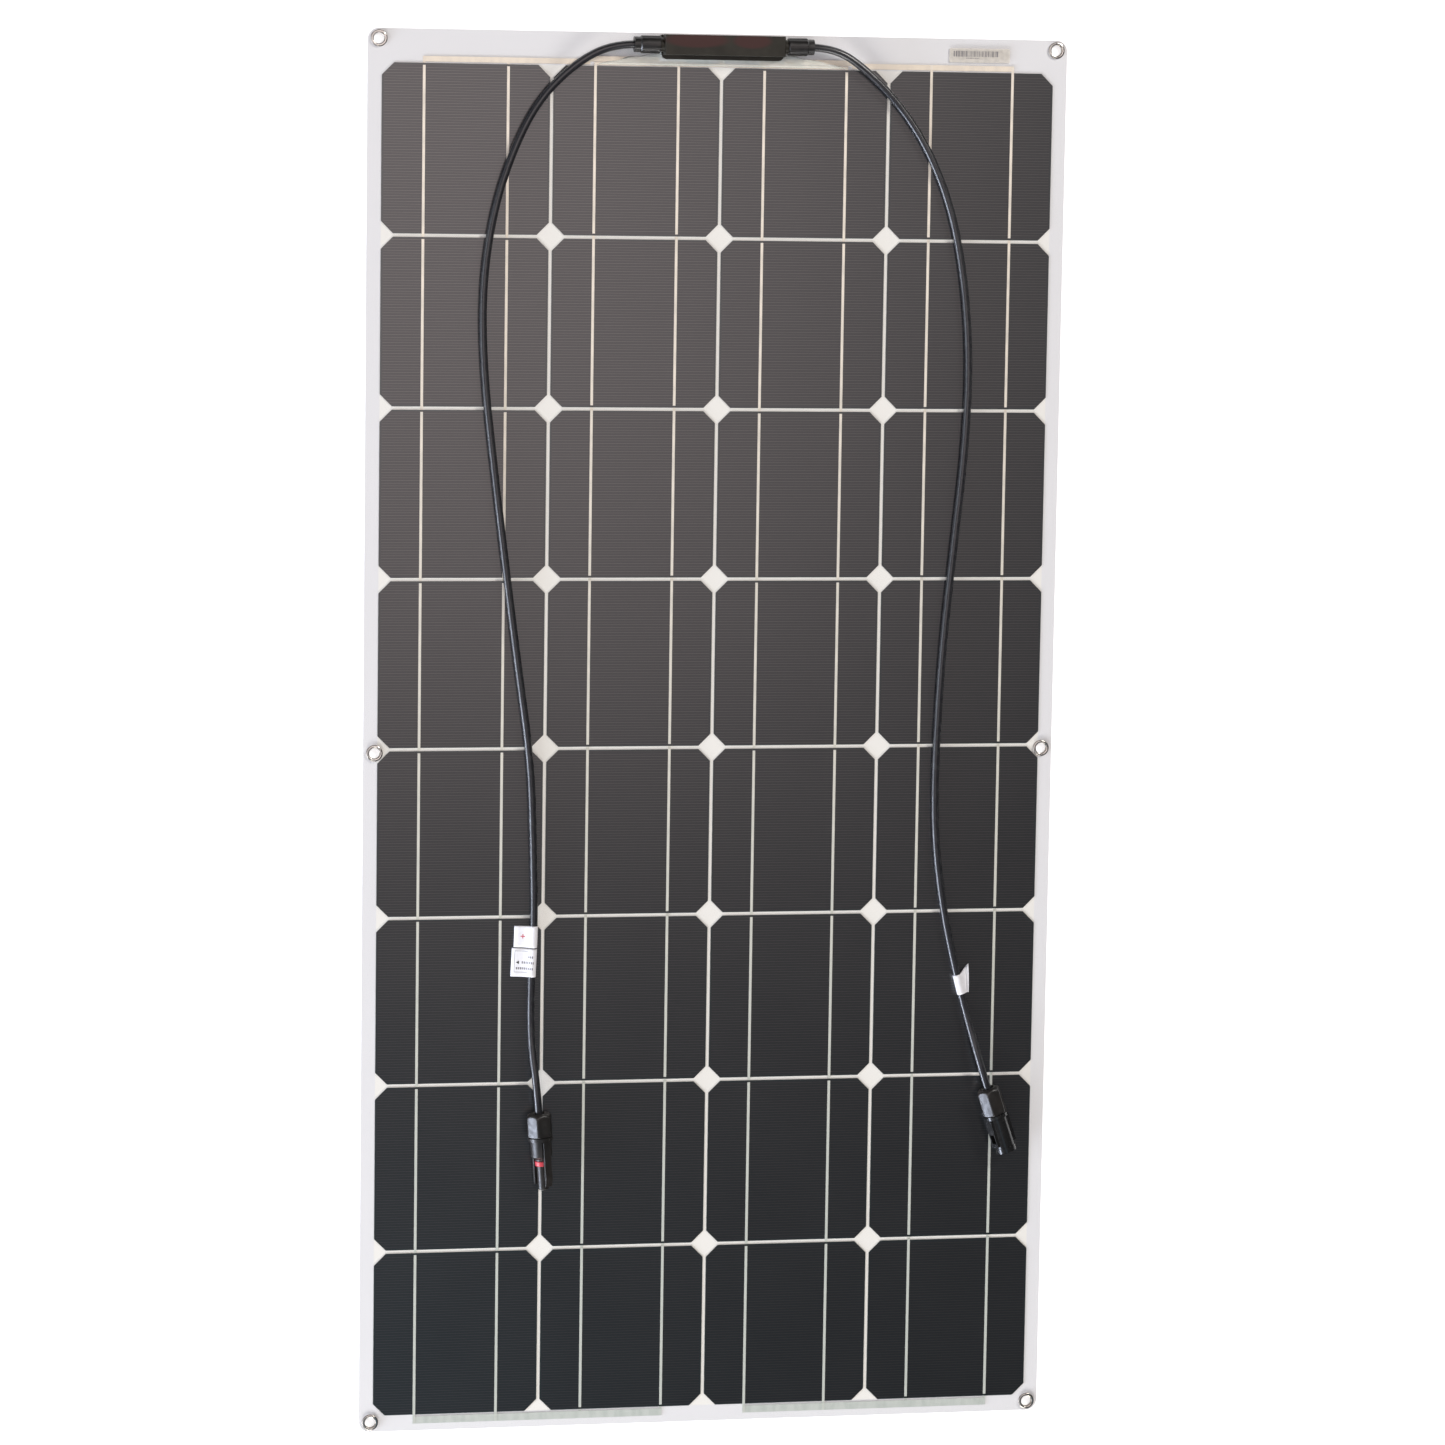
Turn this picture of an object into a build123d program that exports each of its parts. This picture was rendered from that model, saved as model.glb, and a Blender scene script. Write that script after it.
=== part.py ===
from build123d import *
import os
from math import atan2, cos, degrees, pi, radians, sin, tan

# Semi-flexible solar sheet, millimetres.
# X runs across the sheet, Y along it towards the junction box, +Z out of the lit face.
# The origin is the middle of the sheet on its back face.

# ---------------------------------------------------------------- driving dimensions
CELL = 125.0                  # square silicon cell
CELL_GAP = 2.5                # between neighbouring cells, both ways
CELL_CHAMFER = 9.0            # leg of the cut corner
COLUMNS = 4
ROWS = 8
SIDE_MARGIN = 10.75
TOP_MARGIN = 25.0             # strip that carries the junction box
BOTTOM_MARGIN = 12.5
CORNER_RADIUS = 8.5

BACKSHEET_TOP = 1.4           # stack heights, measured from the back face
CELL_BACK = 1.7
CELL_FRONT = 1.9
ENCAPSULANT_TOP = 2.2
SHEET_TOP = 2.5

RIBBON_WIDTH = 2.0            # tabbing ribbon on a cell
RIBBON_THICKNESS = 0.15
RIBBON_OFFSET = 31.25         # each of the two ribbons from the cell's centre line
RIBBON_INSET = 1.5            # free end of a ribbon from the cell's edge
RIBBON_TAIL = 12.0            # length soldered under the next cell
RIBBON_CLEARANCE = 0.4        # bent length kept off the edge of the next cell

SIDE_BUS_WIDTH = 4.0
SIDE_BUS_OFFSET = 1.0         # near edge of a side bus from the top cells
SIDE_BUS_STEP = 99.0          # the bus steps away from the cells here, to clear the centre bus
SIDE_BUS_STEP_WIDTH = 4.0
SIDE_BUS_INNER_OFFSET = 3.15
SIDE_BUS_INNER_END = 28.0
CENTRE_BUS_WIDTH = 2.2
CENTRE_BUS_OFFSET = 0.55
BOTTOM_BUS_WIDTH = 5.5
BOTTOM_BUS_OFFSET = 1.5
BUS_TAB_WIDTH = 4.0
LEAD_THICKNESS = 0.4
LEAD_SETBACK = 0.8            # middle of a lead from the tab's end
LEAD_TOP = 6.4

EYELET_HOLE_RADIUS = 4.0
EYELET_BARREL_RADIUS = 4.5
EYELET_FLANGE_RADIUS = 6.2
EYELET_HEAD = 0.8             # height of the rolled head over the front film
EYELET_ROLL = 0.56            # radius of the head's rolled rim
WASHER_THICKNESS = 0.5        # rear washer, let in flush with the back face
EYELET_EDGE_X = 8.5
EYELET_EDGE_Y = 7.5
MIDDLE_EYELET_Y = -2.5        # from the line between rows 4 and 5
NOTCH_RADIUS = 6.9            # lower half's notch round a middle eyelet
TAB_RADIUS = 6.5              # upper half's tab in that notch

FLEX_GAP = 0.6                # between the halves of each layer at the bend line
CABLE_FLEX_GAP = 3.0          # the same for the cables, which lie above the bend line

ADHESIVE_TOP = 3.0
ADHESIVE_PAST_FRONT = 7.7
ADHESIVE_PAST_ENDS = 1.8
ADHESIVE_REAR_INSET = 0.2
ADHESIVE_CORNER = 2.0
ADHESIVE_WING_END = 96.0      # a thin lens of it tapers out along the cells' edge
ADHESIVE_WING_CREST = 12.0
BOX_HALF_LENGTH = 45.3
BOX_WIDTH = 15.0
BOX_FLANGE_REACH = 3.0        # flange that stands out towards the cells
BOX_FLANGE_PAST_END = 0.8
BOX_FLANGE_TOP = 5.4
BOX_FLANGE_CORNER = 4.0
BOX_BODY_TOP = 15.3
BOX_LID_TOP = 17.3
BOX_WALL = 1.5
BOX_FLOOR_TOP = 4.2
BOX_EDGE_OFFSET = 1.2         # box from the sheet's top edge
GASKET_THICKNESS = 0.4
GASKET_OUTER = 0.4            # gasket's two edges, drawn in from the box's outside
GASKET_INNER = 1.1
LID_RIB_OUTER = 1.7           # the same for the rib that locates the lid
LID_RIB_INNER = 2.7
LID_RIB_DEPTH = 1.6
LID_ROUND = 0.8
GLAND_AXIS_Z = 10.2

TERMINAL_WALL_X = 35.0        # outer face of the wall that a cable core meets
TERMINAL_WALL_HALF_WIDTH = 2.5
TERMINAL_WALL_RISE = 2.0      # above the gland's axis
TERMINAL_INNER_X = 25.0
TERMINAL_HALF_WIDTH = 4.0
TERMINAL_THICKNESS = 0.8
MIDDLE_TERMINAL_HALF = 5.0
DIODE_X = 15.0
DIODE_LENGTH = 12.0
DIODE_WIDTH = 6.4
DIODE_HEIGHT = 4.0
DIODE_CHAMFER = 0.5
DIODE_LEG_SPAN = 24.0
DIODE_LEG_WIDTH = 1.6
DIODE_LEG_THICKNESS = 0.6

GLAND_LENGTH = 22.4           # box wall to the nut's outer end
GLAND_NECK = 2.9
GLAND_THREAD_RADIUS = 5.2
GLAND_THREAD_END = 13.0
GLAND_NUT_RADIUS = 6.7
GLAND_NUT_CHAMFER = 0.6
GLAND_NUT_SHOULDER = 18.0
GLAND_SHOULDER_SLOPE = 1.2
GLAND_GROOVES = 12
GLAND_GROOVE_WIDTH = 1.0
GLAND_GROOVE_DEPTH = 0.35
GLAND_DOME_RADIUS = 5.8
GLAND_SEAL_END = 18.4
GLAND_SEAL_RADIUS = 4.6
THREAD_CLEARANCE = 0.06
MOVING_CLEARANCE = 0.4

CABLE_DIAMETER = 5.8
CORE_RADIUS = 1.3
BARED_FROM = 4.0              # the jacket's end from the inside of the box wall
LEAD_IN = 18.0                # straight length of cable behind a connector

LABEL_PLY = 0.2
LABEL_BORE_CLEARANCE = 0.1
LABEL_LIFT = 0.2              # label above the sheet's face
PLUS_LABEL_AT = 0.8347        # middle of each label, as a part of its cable's length
PLUS_LABEL_LENGTH = 16.5
ARROW_LABEL_AT = 0.8575
ARROW_LABEL_LENGTH = 21.5
PAIR_FLAG_REACH = 15.2        # flag's edge from the cable's centre line
MINUS_LABEL_AT = 0.8925
MINUS_LABEL_LENGTH = 20.0
MINUS_FLAG_REACH = 8.0

STICKER_LEFT = 173.3
STICKER_RIGHT = 220.0
STICKER_LOW = 509.8
STICKER_HIGH = 520.4
STICKER_THICKNESS = 0.1

# Lengths of the connectors run along their axis from the rear end of the nut.
CONNECTOR_PITCH = 1.0         # degrees, nose down towards the sheet
CONTACT_RADIUS = 3.0          # crimp barrel, held in the housing's bore
CONTACT_BARREL_END = 20.0
PLUG_NUT_LENGTH = 18.0
PLUG_NUT_RADIUS = 9.9
SOCKET_NUT_LENGTH = 21.0
SOCKET_NUT_RADIUS = 9.6
PLUG_NUT_TURN = -18.0         # degrees that each nut ends up turned from its housing
SOCKET_NUT_TURN = 13.0
NUT_REAR_CHAMFER = 2.4
NUT_FLAT_INSET = 0.6          # flats of the hexagon inside the nut's round
NUT_THROAT_RADIUS = 5.4       # funnel that the cable goes in through
NUT_THROAT_DEPTH = 2.2
SEAL_START = 3.4
SEAL_CLEARANCE = 0.8          # seal's outside from the tail's
TAIL_START = 9.0
TAIL_RADIUS = 7.6
COLLAR_LENGTH = 2.6

PLUG_COLLAR_RADIUS = 9.4
PLUG_BODY_RADIUS = 8.2
PLUG_BODY_END = 33.0
PLUG_FLAT = 5.4               # flat under a latch finger, from the axis
PLUG_FLAT_END = 36.0
PLUG_FLAT_HALF_WIDTH = 3.8
NOSE_ROOT = 35.5
NOSE_ROOT_RADIUS = 5.0
RING_SEAT_START = 36.5
RING_SEAT_RADIUS = 4.4
RING_START = 36.8             # a wide sealing band
RING_END = 40.6
RING_OUTSIDE = 5.3
RING_ROUND = 0.4
NOSE_START = 41.0
NOSE_RADIUS = 4.2
NOSE_CHAMFER = 0.6
PLUG_LENGTH = 59.0
PIN_RADIUS = 1.5
PIN_END = 55.0
PIN_TIP = 1.0                 # length of the pin's tapered tip
PIN_TIP_RADIUS = 1.0

FINGER_ROLL = 64.0            # degrees, latch fingers turned up from the sheet's plane
FINGER_ROOT = 21.5
FINGER_INSIDE = 6.6           # from the connector's axis
FINGER_OUTSIDE = 8.6
FINGER_WIDTH = 6.0
BARB_START = 45.5
BARB_TOP_START = 46.5
BARB_TOP_END = 50.0
BARB_OUTSIDE = 9.0
FINGER_TIP = 56.0
FINGER_TIP_OUTSIDE = 7.6

SOCKET_COLLAR_RADIUS = 9.2
SOCKET_BODY_RADIUS = 7.6
SOCKET_RIM_START = 48.0
SOCKET_RIM_RADIUS = 8.0
SOCKET_LENGTH = 52.0
MOUTH_RADIUS = 5.4
MOUTH_STEP = 43.0             # the wide mouth ends here in a narrower sealing bore
MOUTH_SEAL_RADIUS = 5.0
MOUTH_START = 34.0
WING_ROLL = -25.0             # degrees, wings turned from the sheet's plane
WING_INSIDE = 5.8
WING_OUTSIDE = 9.2
WING_HALF_WIDTH = 3.5
WING_END = 46.0
WINDOW_START = 36.0           # latch window through each wing into the mouth
WINDOW_END = 43.0
WINDOW_HALF_WIDTH = 2.4
CONTACT_TUBE_OUTER = 2.4
CONTACT_TUBE_INNER = 1.6
CONTACT_TUBE_BOTTOM = 26.0
CONTACT_TUBE_END = 41.0

# ---------------------------------------------------------------- derived places
PITCH = CELL + CELL_GAP
FIELD_WIDTH = COLUMNS * PITCH - CELL_GAP
FIELD_LENGTH = ROWS * PITCH - CELL_GAP
WIDTH = FIELD_WIDTH + 2 * SIDE_MARGIN
LENGTH = FIELD_LENGTH + TOP_MARGIN + BOTTOM_MARGIN
BEND_Y = (BOTTOM_MARGIN - TOP_MARGIN) / 2        # line between rows 4 and 5
FIELD_TOP = BEND_Y + FIELD_LENGTH / 2
FIELD_BOTTOM = BEND_Y - FIELD_LENGTH / 2
EYELET_X = WIDTH / 2 - EYELET_EDGE_X
EYELET_Y = LENGTH / 2 - EYELET_EDGE_Y
CORNER_EYELETS_UPPER = [(-EYELET_X, EYELET_Y), (EYELET_X, EYELET_Y)]
CORNER_EYELETS_LOWER = [(-EYELET_X, -EYELET_Y), (EYELET_X, -EYELET_Y)]
MIDDLE_EYELETS = [(side * EYELET_X, BEND_Y + MIDDLE_EYELET_Y) for side in (-1, 1)]
BOX_TOP_Y = LENGTH / 2 - BOX_EDGE_OFFSET
BOX_AXIS_Y = BOX_TOP_Y - BOX_WIDTH / 2
CABLE_RADIUS = CABLE_DIAMETER / 2
LAID = SHEET_TOP + LABEL_LIFT + LABEL_PLY + CABLE_RADIUS    # centre of a cable laid on the face
CABLE_START = BOX_HALF_LENGTH + GLAND_SEAL_END
TERMINAL_TOP = LEAD_TOP + TERMINAL_THICKNESS
LEAD_CENTRES = [side * (SIDE_BUS_INNER_END + BUS_TAB_WIDTH / 2) for side in (-1, 1)] + [0.0]

# Rear end of each connector's nut, and its heading in the sheet's plane.
PLUG_REAR = (-130.8, -282.0, 13.0)
PLUG_HEADING = -85.6
SOCKET_REAR = (217.2, -270.2, 12.8)
SOCKET_HEADING = -71.5

# Each route is a hand-laid list of corners: out of the gland, down on to the face, along
# the sheet in a loose curve, and up into the rear of its connector.
LEFT_ROUTE = [
    (-CABLE_START, BOX_AXIS_Y, GLAND_AXIS_Z),
    (-84.0, BOX_AXIS_Y, GLAND_AXIS_Z),
    (-112.0, 503.5, 8.6),
    (-138.5, 476.0, 5.8),
    (-157.0, 439.0, LAID),
    (-171.0, 394.0, LAID),
    (-178.5, 339.0, LAID),
    (-177.0, 277.0, LAID),
    (-169.0, 209.0, LAID),
    (-159.5, 134.0, LAID),
    (-149.0, 56.0, LAID),
    (-138.5, -16.0, LAID),
    (-136.0, -81.0, LAID),
    (-134.5, -136.0, LAID),
    (-136.8, -186.0, LAID),
    (-136.5, -229.0, 6.6),
]
RIGHT_ROUTE = [
    (CABLE_START, BOX_AXIS_Y, GLAND_AXIS_Z),
    (84.0, BOX_AXIS_Y, GLAND_AXIS_Z),
    (110.0, 502.0, 8.4),
    (137.5, 475.0, 5.8),
    (160.0, 441.0, LAID),
    (178.0, 396.0, LAID),
    (188.5, 341.0, LAID),
    (193.0, 281.0, LAID),
    (190.5, 216.0, LAID),
    (183.5, 146.0, LAID),
    (176.5, 71.0, LAID),
    (173.0, -1.0, LAID),
    (172.5, -68.0, LAID),
    (180.0, -128.0, LAID),
    (192.5, -183.0, LAID),
    (203.5, -223.0, 6.6),
]


def block(x0, x1, y0, y1, z0, z1):
    """A rectangular block between two opposite corners, given in either order."""
    centre = Pos((x0 + x1) / 2, (y0 + y1) / 2, (z0 + z1) / 2)
    return centre * Box(abs(x1 - x0), abs(y1 - y0), abs(z1 - z0))


def disc(x, y, radius, z0, z1):
    """An upright cylinder."""
    return Pos(x, y, (z0 + z1) / 2) * Cylinder(radius, z1 - z0)


def turned(*profile):
    """A solid of revolution about X from (x, radius) points."""
    return revolve(make_face(Polyline(*profile, close=True)), axis=Axis.X)


def save(name, *solids):
    """Write one node, whose pieces stay separate solids."""
    shape = solids[0] if len(solids) == 1 else Compound(children=list(solids))
    export_step(shape, f"parts/{name}.step")


# ---------------------------------------------------------------- cells and ribbons
def column_x(column):
    return (column - (COLUMNS - 1) / 2) * PITCH


def row_y(row):
    """Centre of a row; row 0 is next to the junction box."""
    return BEND_Y + ((ROWS - 1) / 2 - row) * PITCH


def cell(column, row):
    """A thin square wafer with four cut corners."""
    wafer = Box(CELL, CELL, CELL_FRONT - CELL_BACK)
    wafer = chamfer(wafer.edges().filter_by(Axis.Z), CELL_CHAMFER)
    return Pos(column_x(column), row_y(row), (CELL_BACK + CELL_FRONT) / 2) * wafer


def ribbon_run(x, start, end, low):
    """A flat length of ribbon along Y whose under side is at low."""
    half = RIBBON_WIDTH / 2
    return block(x - half, x + half, start, end, low, low + RIBBON_THICKNESS)


def ribbon_pieces(column, row, offset):
    """The ribbon on the front of one cell, and its length past that cell.

    The front run of a cell goes on to the back of the next one. In the first and third
    columns the next cell is the lower one, in the others the upper one.
    """
    direction = -1 if column % 2 == 0 else 1
    x = column_x(column) + offset
    y = row_y(row)
    front = y - direction * (CELL / 2 - RIBBON_INSET)
    edge = y + direction * CELL / 2
    under = CELL_BACK - RIBBON_THICKNESS
    next_row = row - direction
    if not 0 <= next_row < ROWS:
        bus_end = edge + direction * bus_reach(column, row)
        return [ribbon_run(x, front, bus_end, CELL_FRONT)], []
    step = edge + direction * RIBBON_CLEARANCE
    far_edge = edge + direction * CELL_GAP
    half = RIBBON_WIDTH / 2
    step_end = step + direction * RIBBON_THICKNESS
    riser = block(x - half, x + half, step, step_end, under, CELL_FRONT)
    over = ribbon_run(x, front, step_end, CELL_FRONT)
    tail = ribbon_run(x, step, far_edge + direction * RIBBON_TAIL, under)
    if row + next_row == ROWS - 1:
        bend = BEND_Y + direction * FLEX_GAP / 2
        here = ribbon_run(x, step, bend - direction * FLEX_GAP, under)
        beyond = ribbon_run(x, bend, far_edge + direction * RIBBON_TAIL, under)
        return [over + riser + here], [beyond]
    return [over + riser + tail], []


def back_ribbon(column, row, offset):
    """The ribbon from the back of a column's last cell out to its bus."""
    direction = 1 if column % 2 == 0 else -1
    x = column_x(column) + offset
    edge = row_y(row) + direction * CELL / 2
    bus_end = edge + direction * bus_reach(column, row)
    return ribbon_run(x, edge - direction * RIBBON_TAIL, bus_end, CELL_BACK - RIBBON_THICKNESS)


def bus_reach(column, row):
    """How far past the cells the bus ribbon of a column's end reaches."""
    if row != 0:
        return BOTTOM_BUS_OFFSET + BOTTOM_BUS_WIDTH
    if column in (0, COLUMNS - 1):
        return SIDE_BUS_OFFSET + SIDE_BUS_WIDTH
    return CENTRE_BUS_OFFSET + CENTRE_BUS_WIDTH


def ribbons_by_row():
    """All tabbing ribbons, as one list of solids for each row."""
    rows = [[] for _ in range(ROWS)]
    for column in range(COLUMNS):
        direction = -1 if column % 2 == 0 else 1
        for offset in (-RIBBON_OFFSET, RIBBON_OFFSET):
            for row in range(ROWS):
                own, beyond = ribbon_pieces(column, row, offset)
                rows[row] += own
                if beyond:
                    rows[row - direction] += beyond
            back_row = 0 if direction < 0 else ROWS - 1
            rows[back_row].append(back_ribbon(column, back_row, offset))
    return rows


# ---------------------------------------------------------------- bus ribbons and leads
def outer_ribbon_x(column, side):
    return column_x(column) + side * (RIBBON_OFFSET + RIBBON_WIDTH / 2)


def top_buses():
    """Two stepped side buses and the centre bus between columns 2 and 3, each with its tab."""
    outer_low = FIELD_TOP + SIDE_BUS_OFFSET
    outer_high = outer_low + SIDE_BUS_WIDTH
    low = FIELD_TOP + SIDE_BUS_INNER_OFFSET
    high = low + SIDE_BUS_WIDTH
    centre_low = FIELD_TOP + CENTRE_BUS_OFFSET
    centre_high = centre_low + CENTRE_BUS_WIDTH
    half_tab = BUS_TAB_WIDTH / 2
    buses = []
    for side in (-1, 1):
        far = side * abs(outer_ribbon_x(0, -1))
        step = side * SIDE_BUS_STEP
        step_end = step + side * SIDE_BUS_STEP_WIDTH
        near = side * SIDE_BUS_INNER_END
        tab_end = near + side * BUS_TAB_WIDTH
        strip = block(far, step, outer_low, outer_high, CELL_BACK, CELL_FRONT)
        strip += block(step_end, near, low, high, CELL_BACK, CELL_FRONT)
        buses.append(strip + block(near, tab_end, high, BOX_AXIS_Y, CELL_BACK, CELL_FRONT))
    inner = outer_ribbon_x(2, 1)
    strip = block(-inner, inner, centre_low, centre_high, CELL_BACK, CELL_FRONT)
    buses.append(strip + block(-half_tab, half_tab, centre_high, BOX_AXIS_Y, CELL_BACK, CELL_FRONT))
    return buses


def bottom_buses():
    """The buses that join columns 1 to 2 and 3 to 4 at the lower end."""
    high = FIELD_BOTTOM - BOTTOM_BUS_OFFSET
    buses = []
    for first in (0, 2):
        x0 = outer_ribbon_x(first, -1)
        x1 = outer_ribbon_x(first + 1, 1)
        buses.append(block(x0, x1, high - BOTTOM_BUS_WIDTH, high, CELL_BACK, CELL_FRONT))
    return buses


def leads():
    """Upright leads from the tabs of the top buses into the junction box."""
    middle = BOX_AXIS_Y - LEAD_SETBACK
    half_width = BUS_TAB_WIDTH / 2
    half = LEAD_THICKNESS / 2
    return [block(x - half_width, x + half_width, middle - half, middle + half, CELL_FRONT, LEAD_TOP)
            for x in LEAD_CENTRES]


# ---------------------------------------------------------------- sheet layers
def sheet_outline(z0, z1):
    """The whole sheet's rounded outline between two heights."""
    plate = Box(WIDTH, LENGTH, z1 - z0)
    plate = fillet(plate.edges().filter_by(Axis.Z), CORNER_RADIUS)
    return Pos(0, 0, (z0 + z1) / 2) * plate


def layer_halves(z0, z1):
    """One layer as its upper and lower half, which meet at the bend line.

    The upper half keeps a round tab for each middle eyelet, in a notch of the lower half.
    """
    sheet = sheet_outline(z0, z1)
    above = block(-WIDTH, WIDTH, BEND_Y + FLEX_GAP / 2, LENGTH, z0, z1)
    below = block(-WIDTH, WIDTH, -LENGTH, BEND_Y - FLEX_GAP / 2, z0, z1)
    tabs = [disc(x, y, TAB_RADIUS, z0, z1) for x, y in MIDDLE_EYELETS]
    notches = [disc(x, y, NOTCH_RADIUS, z0, z1) for x, y in MIDDLE_EYELETS]
    upper = (sheet & above) + (Compound(children=tabs) & sheet)
    lower = (sheet & below) - notches
    holes = [disc(x, y, EYELET_BARREL_RADIUS, z0, z1) for x, y in CORNER_EYELETS_UPPER + MIDDLE_EYELETS]
    lower_holes = [disc(x, y, EYELET_BARREL_RADIUS, z0, z1) for x, y in CORNER_EYELETS_LOWER]
    return upper - holes, lower - lower_holes


def washer_seats(places):
    """Round recesses that take the rear washers."""
    return [disc(x, y, EYELET_FLANGE_RADIUS, 0, WASHER_THICKNESS) for x, y in places]


def build_sheet():
    cells = [[cell(column, row) for column in range(COLUMNS)] for row in range(ROWS)]
    ribbons = ribbons_by_row()
    for row in range(ROWS):
        save(f"cell_row_{row + 1}", *cells[row])
        save(f"tabbing_ribbons_row_{row + 1}", *ribbons[row])
    save("top_bus_ribbons", *top_buses())
    save("bottom_bus_ribbons", *bottom_buses())
    save("bus_leads", *leads())

    back_upper, back_lower = layer_halves(0, BACKSHEET_TOP)
    save("backsheet_upper", back_upper - washer_seats(CORNER_EYELETS_UPPER + MIDDLE_EYELETS))
    save("backsheet_lower", back_lower - washer_seats(CORNER_EYELETS_LOWER))

    fill_upper, fill_lower = layer_halves(BACKSHEET_TOP, ENCAPSULANT_TOP)
    half = ROWS // 2
    embedded_upper = sum(cells[:half] + ribbons[:half], []) + top_buses() + leads()
    embedded_lower = sum(cells[half:] + ribbons[half:], []) + bottom_buses()
    save("encapsulant_upper", fill_upper - embedded_upper)
    save("encapsulant_lower", fill_lower - embedded_lower)

    film_upper, film_lower = layer_halves(ENCAPSULANT_TOP, SHEET_TOP)
    save("front_film_upper", film_upper - leads())
    save("front_film_lower", film_lower)


# ---------------------------------------------------------------- eyelets
def eyelet(x, y):
    """A rolled head on the front with a barrel down to the back face."""
    head_top = SHEET_TOP + EYELET_HEAD
    head = Pos(x, y, SHEET_TOP + EYELET_HEAD / 2) * Cylinder(EYELET_FLANGE_RADIUS, EYELET_HEAD)
    head = fillet(head.edges().group_by(Axis.Z)[-1], EYELET_ROLL)
    barrel = disc(x, y, EYELET_BARREL_RADIUS, 0, SHEET_TOP)
    return head + barrel - disc(x, y, EYELET_HOLE_RADIUS, 0, head_top)


def washer(x, y):
    """The rear ring that the barrel is set in."""
    ring = disc(x, y, EYELET_FLANGE_RADIUS, 0, WASHER_THICKNESS)
    return ring - disc(x, y, EYELET_BARREL_RADIUS, 0, WASHER_THICKNESS)


def build_eyelets():
    upper = CORNER_EYELETS_UPPER + MIDDLE_EYELETS
    save("eyelets_upper", *[eyelet(x, y) for x, y in upper])
    save("eyelets_lower", *[eyelet(x, y) for x, y in CORNER_EYELETS_LOWER])
    save("eyelet_washers_upper", *[washer(x, y) for x, y in upper])
    save("eyelet_washers_lower", *[washer(x, y) for x, y in CORNER_EYELETS_LOWER])


# ---------------------------------------------------------------- junction box
def box_outline(inset, z0, z1):
    """The box body's footprint, drawn in by inset on all sides."""
    half_x = BOX_HALF_LENGTH - inset
    half_y = BOX_WIDTH / 2 - inset
    return block(-half_x, half_x, BOX_AXIS_Y - half_y, BOX_AXIS_Y + half_y, z0, z1)


def frame(outer_inset, inner_inset, z0, z1):
    return box_outline(outer_inset, z0, z1) - box_outline(inner_inset, z0, z1)


def on_gland_axis(side):
    """Local X runs out of the box's end wall along the gland's axis."""
    return Pos(side * BOX_HALF_LENGTH, BOX_AXIS_Y, GLAND_AXIS_Z) * Rot(0, 0, 0 if side > 0 else 180)


def gland_stub():
    """The threaded stub moulded on an end wall."""
    return turned((0, 0), (0, GLAND_THREAD_RADIUS), (GLAND_THREAD_END, GLAND_THREAD_RADIUS),
                  (GLAND_THREAD_END, 0))


def gland_nut():
    """A grooved cap with a narrower dome at its outer end."""
    thread = GLAND_THREAD_RADIUS + THREAD_CLEARANCE
    chamber = GLAND_SEAL_RADIUS + MOVING_CLEARANCE
    bore = CABLE_RADIUS + MOVING_CLEARANCE
    chamber_end = GLAND_SEAL_END + MOVING_CLEARANCE
    thread_end = GLAND_THREAD_END + MOVING_CLEARANCE
    nut = turned((GLAND_NECK, thread), (GLAND_NECK, GLAND_NUT_RADIUS - GLAND_NUT_CHAMFER),
                 (GLAND_NECK + GLAND_NUT_CHAMFER, GLAND_NUT_RADIUS),
                 (GLAND_NUT_SHOULDER - GLAND_SHOULDER_SLOPE, GLAND_NUT_RADIUS),
                 (GLAND_NUT_SHOULDER, GLAND_DOME_RADIUS), (GLAND_LENGTH, GLAND_DOME_RADIUS),
                 (GLAND_LENGTH, bore), (chamber_end, bore), (chamber_end, chamber),
                 (thread_end, chamber), (thread_end, thread))
    middle = (GLAND_NECK + GLAND_NUT_SHOULDER) / 2
    groove = Box(GLAND_NUT_SHOULDER - GLAND_NECK, GLAND_GROOVE_WIDTH, 2 * GLAND_GROOVE_DEPTH)
    turn = 360 / GLAND_GROOVES
    return nut - [Rot(turn * i, 0, 0) * Pos(middle, 0, GLAND_NUT_RADIUS) * groove
                  for i in range(GLAND_GROOVES)]


def gland_seal():
    return turned((GLAND_THREAD_END, CABLE_RADIUS), (GLAND_THREAD_END, GLAND_SEAL_RADIUS),
                  (GLAND_SEAL_END, GLAND_SEAL_RADIUS), (GLAND_SEAL_END, CABLE_RADIUS))


def cable_tail():
    """The cable inside the gland, with its bared core out to the terminal."""
    jacket_end = -BOX_WALL - BARED_FROM
    core_end = TERMINAL_WALL_X - BOX_HALF_LENGTH
    return turned((core_end, 0), (core_end, CORE_RADIUS), (jacket_end, CORE_RADIUS),
                  (jacket_end, CABLE_RADIUS), (GLAND_SEAL_END, CABLE_RADIUS), (GLAND_SEAL_END, 0))


def terminal_plates():
    """Two end plates with an upright wall for a cable core, and the middle plate."""
    low = BOX_AXIS_Y - TERMINAL_HALF_WIDTH
    high = BOX_AXIS_Y + TERMINAL_HALF_WIDTH
    wall_low = BOX_AXIS_Y - TERMINAL_WALL_HALF_WIDTH
    wall_high = BOX_AXIS_Y + TERMINAL_WALL_HALF_WIDTH
    wall_top = GLAND_AXIS_Z + TERMINAL_WALL_RISE
    plates = []
    for side in (-1, 1):
        end = side * TERMINAL_WALL_X
        wall = block(end - side, end, wall_low, wall_high, TERMINAL_TOP, wall_top)
        plates.append(block(side * TERMINAL_INNER_X, end, low, high, LEAD_TOP, TERMINAL_TOP) + wall)
    half = MIDDLE_TERMINAL_HALF
    plates.append(block(-half, half, low, high, LEAD_TOP, TERMINAL_TOP))
    return plates


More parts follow.
